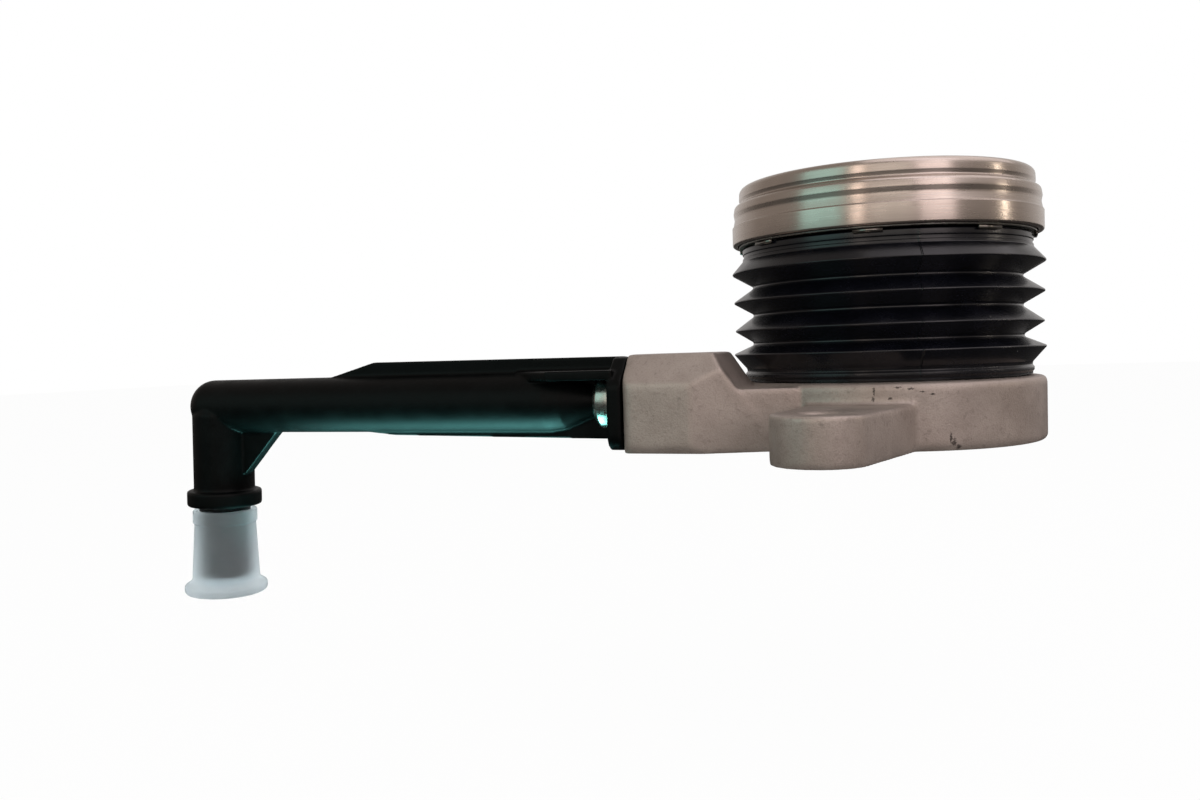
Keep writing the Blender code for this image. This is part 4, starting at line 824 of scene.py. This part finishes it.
def ring_form():
    wall_foot = 12.0
    return turned("casting", rounded([
        (22.3, 0, 0), (31.9, 0, 0), (RING_RADIUS, 0.6, 0), (RING_RADIUS, 13.2, 1.2),
        (TROUGH_RADIUS, 13.2, 0.3), (TROUGH_RADIUS, TROUGH_FLOOR, 0),
        (CYLINDER_OUTSIDE, TROUGH_FLOOR, 0), (CYLINDER_OUTSIDE, wall_foot, 0),
        (CYLINDER_BORE, wall_foot, 0), (CYLINDER_BORE, CHAMBER_FLOOR, 0), (14.9, CHAMBER_FLOOR, 0),
        (14.9, 2.1, 0), (22.3, 2.1, 0)], 5), casting_finish, 128)


def lug_form(angle):
    left, right, bolt_face = 8.6, 11.8, 9.0
    rim = math.sqrt(RING_RADIUS ** 2 - right ** 2)
    outline = [(rim - 3, -left), (LUG_REACH, -LUG_ROUND)]
    for k in range(1, 40):
        turn = math.radians(-90 + 165 * k / 39)
        outline.append((LUG_REACH + LUG_ROUND * math.cos(turn), LUG_ROUND * math.sin(turn)))
    outline += [(rim + 0.8, right), (rim - 3, right)]
    place = Matrix.Rotation(math.radians(angle), 4, "Z")
    return prism("lug", outline, 0, bolt_face, casting_finish, place)


print("the front lug's hole is at", [
    round(LUG_REACH * f(math.radians(LUG_ANGLE)), 2) for f in (math.cos, math.sin)])

# %% [markdown]
# The block holds the end of the pipe. It starts as a box, and each slope is one slice: down to the
# ring, round towards the ring, the gable on the camera's side, and two bevels. A lower tail leads
# into the ring, and the bellows' trough is kept clear.

# %% Port block
def slice_off(bm, point, normal):
    """Cut away what lies past a plane, and close the cut."""
    cut = bmesh.ops.bisect_plane(
        bm, geom=bm.verts[:] + bm.edges[:] + bm.faces[:], dist=1e-4, plane_co=point,
        plane_no=normal, clear_outer=True)["geom_cut"]
    bmesh.ops.contextual_create(bm, geom=[e for e in cut if isinstance(e, bmesh.types.BMEdge)])


def block_form():
    left, right, near, far, top = -48.0, -14.0, -38.2, -18.3, 20.0
    low, high = (left, near, 0.0), (right, far, top)
    bm = bmesh.new()
    bmesh.ops.create_cube(bm, size=1)
    for vert in bm.verts:
        vert.co = [low[k] if vert.co[k] < 0 else high[k] for k in range(3)]
    slice_off(bm, (-29.9, 0, top), (7.4, 0, 5.0))
    slice_off(bm, (-33.6, near, 0), (8.2, -19.6, 0))
    slice_off(bm, (0, near, 14.0), (0, -6.0, 5.0))
    slice_off(bm, (0, -37.2, 0), (0, -1, -1))
    slice_off(bm, (left, -37.0, 0), (-1, -1, 0))
    block = finished("block", bm, casting_finish)
    tail_outline = [(-33.6, far), (-33.6, -37.9), (right, -30.0), (right, far)]
    combine(block, [prism("tail", tail_outline, 1.0, 12.6, casting_finish)], "UNION")
    room_outline = [
        (0, TROUGH_FLOOR), (TROUGH_RADIUS, TROUGH_FLOOR), (TROUGH_RADIUS, top + 1), (0, top + 1)]
    return combine(block, [turned("room", room_outline, casting_finish, 128)], "DIFFERENCE")


lugs = [lug_form(LUG_ANGLE), lug_form(LUG_ANGLE + 180)]
casting = combine(ring_form(), [block_form(), *lugs], "UNION")
print("casting before softening:", len(casting.data.polygons), "faces")

# %% [markdown]
# The screw holes, the pipe's socket and the piston's chamber are machined after the softening, so
# they keep sharp edges. Little of their walls shows, so they keep the casting's finish.

# %% Soften, then machine
PORT_Y = -28.0
PORT_Z = 10.3
softened(casting, voxel_mm=0.42, rounds=12, keep=0.45)


def screw_cutter(angle):
    hole, mouth = 3.65, 5.35
    outline = [(0, -1), (mouth, -1), (hole, 0.7), (hole, 8.3), (mouth, 10), (0, 10)]
    place = Matrix.Rotation(math.radians(angle), 4, "Z") @ Matrix.Translation((LUG_REACH, 0, 0))
    return turned("cutter", outline, casting_finish, 64, place)


socket_cutter = rod("cutter", (-49, PORT_Y, PORT_Z), (-36, PORT_Y, PORT_Z), 4.9, casting_finish)
chamber_outline = [
    (13.0, CHAMBER_FLOOR), (CYLINDER_BORE, CHAMBER_FLOOR), (CYLINDER_BORE, 14.0), (13.0, 14.0)]
chamber_cutter = turned("cutter", chamber_outline, casting_finish, 96)
cutters = [screw_cutter(LUG_ANGLE), screw_cutter(LUG_ANGLE + 180), socket_cutter, chamber_cutter]
welded(combine(casting, cutters, "DIFFERENCE"))
print("casting:", len(casting.data.polygons), "faces,", [m.name for m in casting.data.materials])

# %% [markdown]
# The cylinder that the piston slides in is a thin turned wall inside the bellows. It is part of the
# same casting, so it joins the casting's mesh as it is, with its bright finish.

# %% Cylinder wall
wall_outline = rounded([
    (CYLINDER_BORE, 11.0, 0), (CYLINDER_OUTSIDE, 11.0, 0), (CYLINDER_OUTSIDE, 29.9, 0.5),
    (CYLINDER_BORE, 29.9, 0.5)], 3)
wall = turned("wall", wall_outline, machined_finish, 96)


def join(main, extra):
    """Add another object's mesh, with its material, to the main one."""
    with bpy.context.temp_override(active_object=main, selected_editable_objects=[main, extra]):
        bpy.ops.object.join()
    return main


crisp(join(casting, wall), "casting_body")
stand_in(casting, "housing", "cast aluminium", "housing")

# %% [markdown]
# ## The feed pipe
# One moulding again: a barrel with a domed end, a leg, fins above and below, a gusset in the elbow,
# and the flange that the block clamps. The forms are the frame's, softened as mouldings are.

# %% Pipe forms
LEG_X = -157.0
RIB_END = -50.3
LEG_PLACE = (
    Matrix.Translation((LEG_X, PORT_Y, PORT_Z)) @ Matrix.Rotation(math.radians(2.0), 4, "Y")
    @ Matrix.Translation((0, 0, -PORT_Z)))
UPRIGHT = Matrix.Translation((0, PORT_Y, 0)) @ Matrix.Rotation(math.radians(90), 4, "X")


def on_the_barrel(x):
    """The place that lays a turned piece along the barrel, with its foot at this x."""
    return Matrix.Translation((x, PORT_Y, PORT_Z)) @ Matrix.Rotation(math.radians(90), 4, "Y")


def barrel_form():
    radius, dome, dome_foot = 6.5, 5.7, -159
    outline = [(0, dome_foot - dome)]
    for k in range(1, 13):
        turn = math.pi / 2 * k / 12
        outline.append((radius * math.sin(turn), dome_foot - dome * math.cos(turn)))
    outline += [
        (radius, -67.5), (5.9, -63.5), (3.2, -56.6), (3.2, RIB_END), (4.5, RIB_END), (4.5, -37.9),
        (3.7, -37.1), (0, -37.1)]
    return turned("pipe", outline, pipe_finish, 96, on_the_barrel(0))


def leg_form():
    return turned("leg", rounded([
        (0, -32.3, 0), (5.25, -32.3, 0), (6.05, -31.5, 0), (6.05, -14.3, 0), (8.8, -14.3, 0.5),
        (8.8, -10.5, 0.5), (7.2, -10.5, 0), (7.2, 8.3, 0), (5.0, 13.3, 0), (0, 13.3, 0)], 3),
        pipe_finish, 96, LEG_PLACE)


def fin_forms():
    top = [(-125, PORT_Z), (RIB_END, PORT_Z), (RIB_END, 19.7), (-112, 20.0), (-125, 16.5)]
    low = [(-116, PORT_Z), (-116, 4.1), (-107, 3.1), (RIB_END, 2.2), (RIB_END, PORT_Z)]
    gusset = [
        (LEG_X, -6.3), (LEG_X + 7.2, -6.3), (-139.8, 4.1), (-139.8, PORT_Z), (LEG_X, PORT_Z)]
    forms = []
    for name, outline, thick in (("top", top, 2.2), ("low", low, 2.2), ("gusset", gusset, 3.0)):
        forms.append(prism(name, outline, -thick / 2, thick / 2, pipe_finish, UPRIGHT))
    return forms


def flange_forms():
    near_side = [(-75, PORT_Y - 2), (-65, PORT_Y - 9), (RIB_END, PORT_Y - 9)]
    far_side = [(x, 2 * PORT_Y - y) for x, y in reversed(near_side)]
    ledge = prism("ledge", near_side + far_side, 15.0, 17.0, pipe_finish)
    foot, top, near, far = 0.5, 19.5, -37.7, -18.8
    corners = [(foot, near, 3), (14, near, 3), (top, -32.7, 1.5), (top, far, 3), (foot, far, 3)]
    outline = [(y, z) for z, y in rounded(corners, 6)]
    across_the_pipe = Matrix(((0, 0, 1, 0), (1, 0, 0, 0), (0, 1, 0, 0), (0, 0, 0, 1)))
    return [ledge, prism("flange", outline, -51.3, -48.3, pipe_finish, across_the_pipe)]


pipe = combine(barrel_form(), [leg_form()] + fin_forms() + flange_forms(), "UNION")
softened(pipe, voxel_mm=0.3, rounds=4, keep=0.5)
print("pipe after softening:", len(pipe.data.polygons), "faces")

# %% [markdown]
# The ferrule needs a groove, and the oil runs down a bore. Both are cut after the softening, so
# their edges stay crisp.

# %% Room for the ferrule, and the bore
FERRULE_X = -56.2
room = turned(
    "room", [(3.0, -0.05), (5.76, -0.05), (5.76, 4.66), (3.0, 4.66)], pipe_finish, 64,
    on_the_barrel(FERRULE_X))
bore = rod("bore", (LEG_X, PORT_Y, PORT_Z), (-36, PORT_Y, PORT_Z), 2.2, pipe_finish, 32)
welded(combine(pipe, [room, bore], "DIFFERENCE"))
crisp(pipe, "pipe_moulding")
stand_in(pipe, "housing", "black nylon", "feed_pipe")

# %% [markdown]
# The bright ring behind the flange spreads the clamp load. It is zinc-plated steel with a rolled
# nose. The dust cap is a thin polythene cup with a grip rim and a flared foot.

# %% Ferrule and cap
ferrule_outline = rounded([
    (3.3, 0, 0.2), (5.0, 0, 0.5), (5.7, 0.9, 0.9), (5.7, 4.6, 0.4), (3.3, 4.6, 0.2)], 5)
ferrule = turned("ferrule_ring", ferrule_outline, zinc_finish, 96, on_the_barrel(FERRULE_X))
stand_in(ferrule, "housing", "pressed steel", "pipe_ferrule")
cap_outline = rounded([
    (0, -36.2, 0), (9.8, -36.2, 0.9), (9.8, -34.2, 0.9), (8.0, -33.0, 1.4), (7.25, -18.9, 0.2),
    (7.6, -18.4, 0.2), (7.6, -15.4, 0.4), (6.35, -15.4, 0.2), (6.35, -34.4, 0.8), (0, -34.4, 0)], 6)
cap = turned("cap_cup", cap_outline, cap_finish, 96, LEG_PLACE)
stand_in(cap, "cap", "milky polythene", "dust_cap")

# %% [markdown]
# ## Pieces that stay as they are
# The rest is hidden inside, and keeps the frame's solids. Each still gets its true finish.

# %% Finishes for the carried-over solids
carried = {
    "sleeve_seal": seal_finish, "port_seal": seal_finish, "spigot_seal": seal_finish,
    "piston_seal": seal_finish, "spring_seat": spring_finish, "bellows_clamp_ring": spring_finish,
    "wave_washer": spring_finish, "bearing_inner_race": race_finish,
    "bearing_outer_race": race_finish, "bearing_shield": tube_finish, "bearing_cage": nylon_finish}
for name, material in carried.items():
    nodes[name].data.materials.clear()
    nodes[name].data.materials.append(material)
print("carried-over solids:", len(carried))

# %% [markdown]
# ## Floor and surroundings
# The photograph has a pure white background. So the floor and the world are white to the camera's
# rays and to the rays that pass through the milky cap. Everything else sees a plain grey level, so
# the lamps do the lighting. To reflections, the room on the camera's side is dimmer. The floor
# keeps a soft shadow, and lies low enough for the cap to be pulled off above it.

# %% Floor
FLOOR_Z = -0.058


def floor_material():
    material = bpy.data.materials.new("pale_floor")
    material.use_nodes = True
    tree = material.node_tree
    rays = add(tree, "ShaderNodeLightPath").outputs
    plain = tree.nodes["Principled BSDF"]
    plain.inputs["Base Color"].default_value = linear("#e9e9e7")
    plain.inputs["Roughness"].default_value = 0.9
    white, sheen = (
        add(tree, "ShaderNodeEmission", {"Color": linear(code), "Strength": 1.0}).outputs[0]
        for code in ("#ffffff", "#413f3e"))
    seen = math_node(tree, "MULTIPLY", rays["Is Camera Ray"], 0.965)
    surface = plain.outputs[0]
    for share, glow in (
            (seen, white), (rays["Is Glossy Ray"], sheen), (rays["Is Transmission Ray"], white)):
        surface = add(tree, "ShaderNodeMixShader", {0: share, 1: surface, 2: glow}).outputs[0]
    tree.links.new(surface, tree.nodes["Material Output"].inputs["Surface"])
    return material


bpy.ops.mesh.primitive_plane_add(size=6.0, location=(-0.06, 0, FLOOR_Z))
floor = bpy.context.object
floor.name = "floor"
floor.data.materials.append(floor_material())
floor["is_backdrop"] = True

# %% World
def room_world():
    world = bpy.context.scene.world or bpy.data.worlds.new("room")
    bpy.context.scene.world = world
    world.use_nodes = True
    tree = world.node_tree
    tree.nodes.clear()
    rays = add(tree, "ShaderNodeLightPath").outputs
    way = add(tree, "ShaderNodeTexCoord").outputs["Generated"]
    towards = vector_node(tree, "DOT_PRODUCT", way, (0.1, -1.0, 0.0), "Value")
    shown = two_tone(tree, towards, -0.85, -0.3, "#dcd8d6", "#a49b95")
    soft = mix_colour(tree, rays["Is Glossy Ray"], linear("#bab6b4"), shown)
    clear = math_node(tree, "MAXIMUM", rays["Is Camera Ray"], rays["Is Transmission Ray"])
    colour = mix_colour(tree, clear, soft, (1, 1, 1, 1))
    background = add(tree, "ShaderNodeBackground", {"Color": colour, "Strength": 1.0}).outputs[0]
    add(tree, "ShaderNodeOutputWorld", {"Surface": background})


room_world()
print("floor and world made")

# %% [markdown]
# ## Lamps
# A wide softbox overhead gives the top of each fold its edge, and a weak violet one beside it tints
# the rubber. Upright panels on the camera's side draw the streaks on the cover's band: a cool one
# at the left, a warm tube, a soft band in front, a pale one at the right, and a thin tube at the
# far right. Each is placed where the band's reflection looks. A small teal lamp under the pipe
# stands for the glow of the table on its belly.

# %% Softboxes
CENTRE = Vector((-0.04, -0.01, 0.02))


def softbox(name, place, size, watts, code, target=CENTRE):
    """A soft area lamp that faces the target and isn't seen itself."""
    lamp = bpy.data.lights.new(name, "AREA")
    lamp.shape = "RECTANGLE"
    lamp.size, lamp.size_y = size
    lamp.energy = watts
    lamp.color = linear(code)[:3]
    item = new_object(name, lamp)
    item.location = place
    item.rotation_mode = "QUATERNION"
    item.rotation_quaternion = (Vector(place) - target).to_track_quat("Z", "Y")
    item.visible_camera = False
    return item


def panel(name, azimuth, distance, height, size, watts, code):
    """An upright softbox at this compass angle round the unit."""
    a = math.radians(azimuth)
    place = (distance * math.cos(a), distance * math.sin(a), height)
    return softbox(name, place, size, watts, code)


softbox("overhead", (0.26, -0.02, 0.55), (0.9, 0.8), 2.2, "#f2ecf0")
softbox("violet_high", (0.3, -0.25, 0.55), (0.4, 0.4), 0.3, "#efe2f4")
panel("cool_panel", -129, 0.62, 0.2, (0.36, 0.38), 0.46, "#a6ebe6")
panel("left_tube", -102, 0.6, 0.2, (0.08, 0.38), 0.26, "#ffece0")
panel("front_band", -79, 0.62, 0.2, (0.34, 0.38), 0.36, "#f6efe8")
panel("pale_panel", -47, 0.62, 0.2, (0.28, 0.38), 0.56, "#fbeced")
panel("right_tube", 7, 0.6, 0.14, (0.02, 0.16), 0.15, "#fff2e2")
UNDER_THE_PIPE = Vector((-0.108, -0.024, -0.036))
glow = softbox(
    "table_glow", UNDER_THE_PIPE, (0.075, 0.06), 0.15, "#74c9c6", Vector((-0.108, -0.024, 0.03)))
glow.data.spread = math.radians(75)
print("lamps made")

# %% [markdown]
# ## Camera
# The camera stands a little under a quarter of a metre away, nearly level with the bellows, and is
# turned and rolled as the photograph was.

# %% Camera
def camera_matrix(place_mm, heading, pitch, roll):
    """A camera pose from its place, compass heading, pitch and roll in degrees."""
    heading, pitch, roll = (math.radians(v) for v in (heading, pitch, roll))
    forward = Vector((
        math.cos(heading) * math.cos(pitch), math.sin(heading) * math.cos(pitch), math.sin(pitch)))
    right = Vector((math.cos(heading - math.pi / 2), math.sin(heading - math.pi / 2), 0))
    up = right.cross(forward)
    right, up = (
        right * math.cos(roll) + up * math.sin(roll), up * math.cos(roll) - right * math.sin(roll))
    matrix = Matrix((right, up, -forward)).transposed().to_4x4()
    matrix.translation = Vector(place_mm) * MM
    return matrix


camera_data = bpy.data.cameras.new("camera")
camera_data.lens = 30.0
camera_data.sensor_width = 36.0
camera_data.clip_start = 0.01
camera = new_object("camera", camera_data)
camera.matrix_world = camera_matrix((20.05, -226.9, 20.6), 111.0, -2.71, -1.85)
bpy.context.scene.camera = camera
bpy.context.scene.view_settings.view_transform = "Standard"

# %% Sizes and finish
visual_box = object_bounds()
for label, (low, high) in (("frame", cad_box), ("model", visual_box)):
    print(label, "size in mm:", [round((h - l) / MM, 1) for l, h in zip(low, high)])
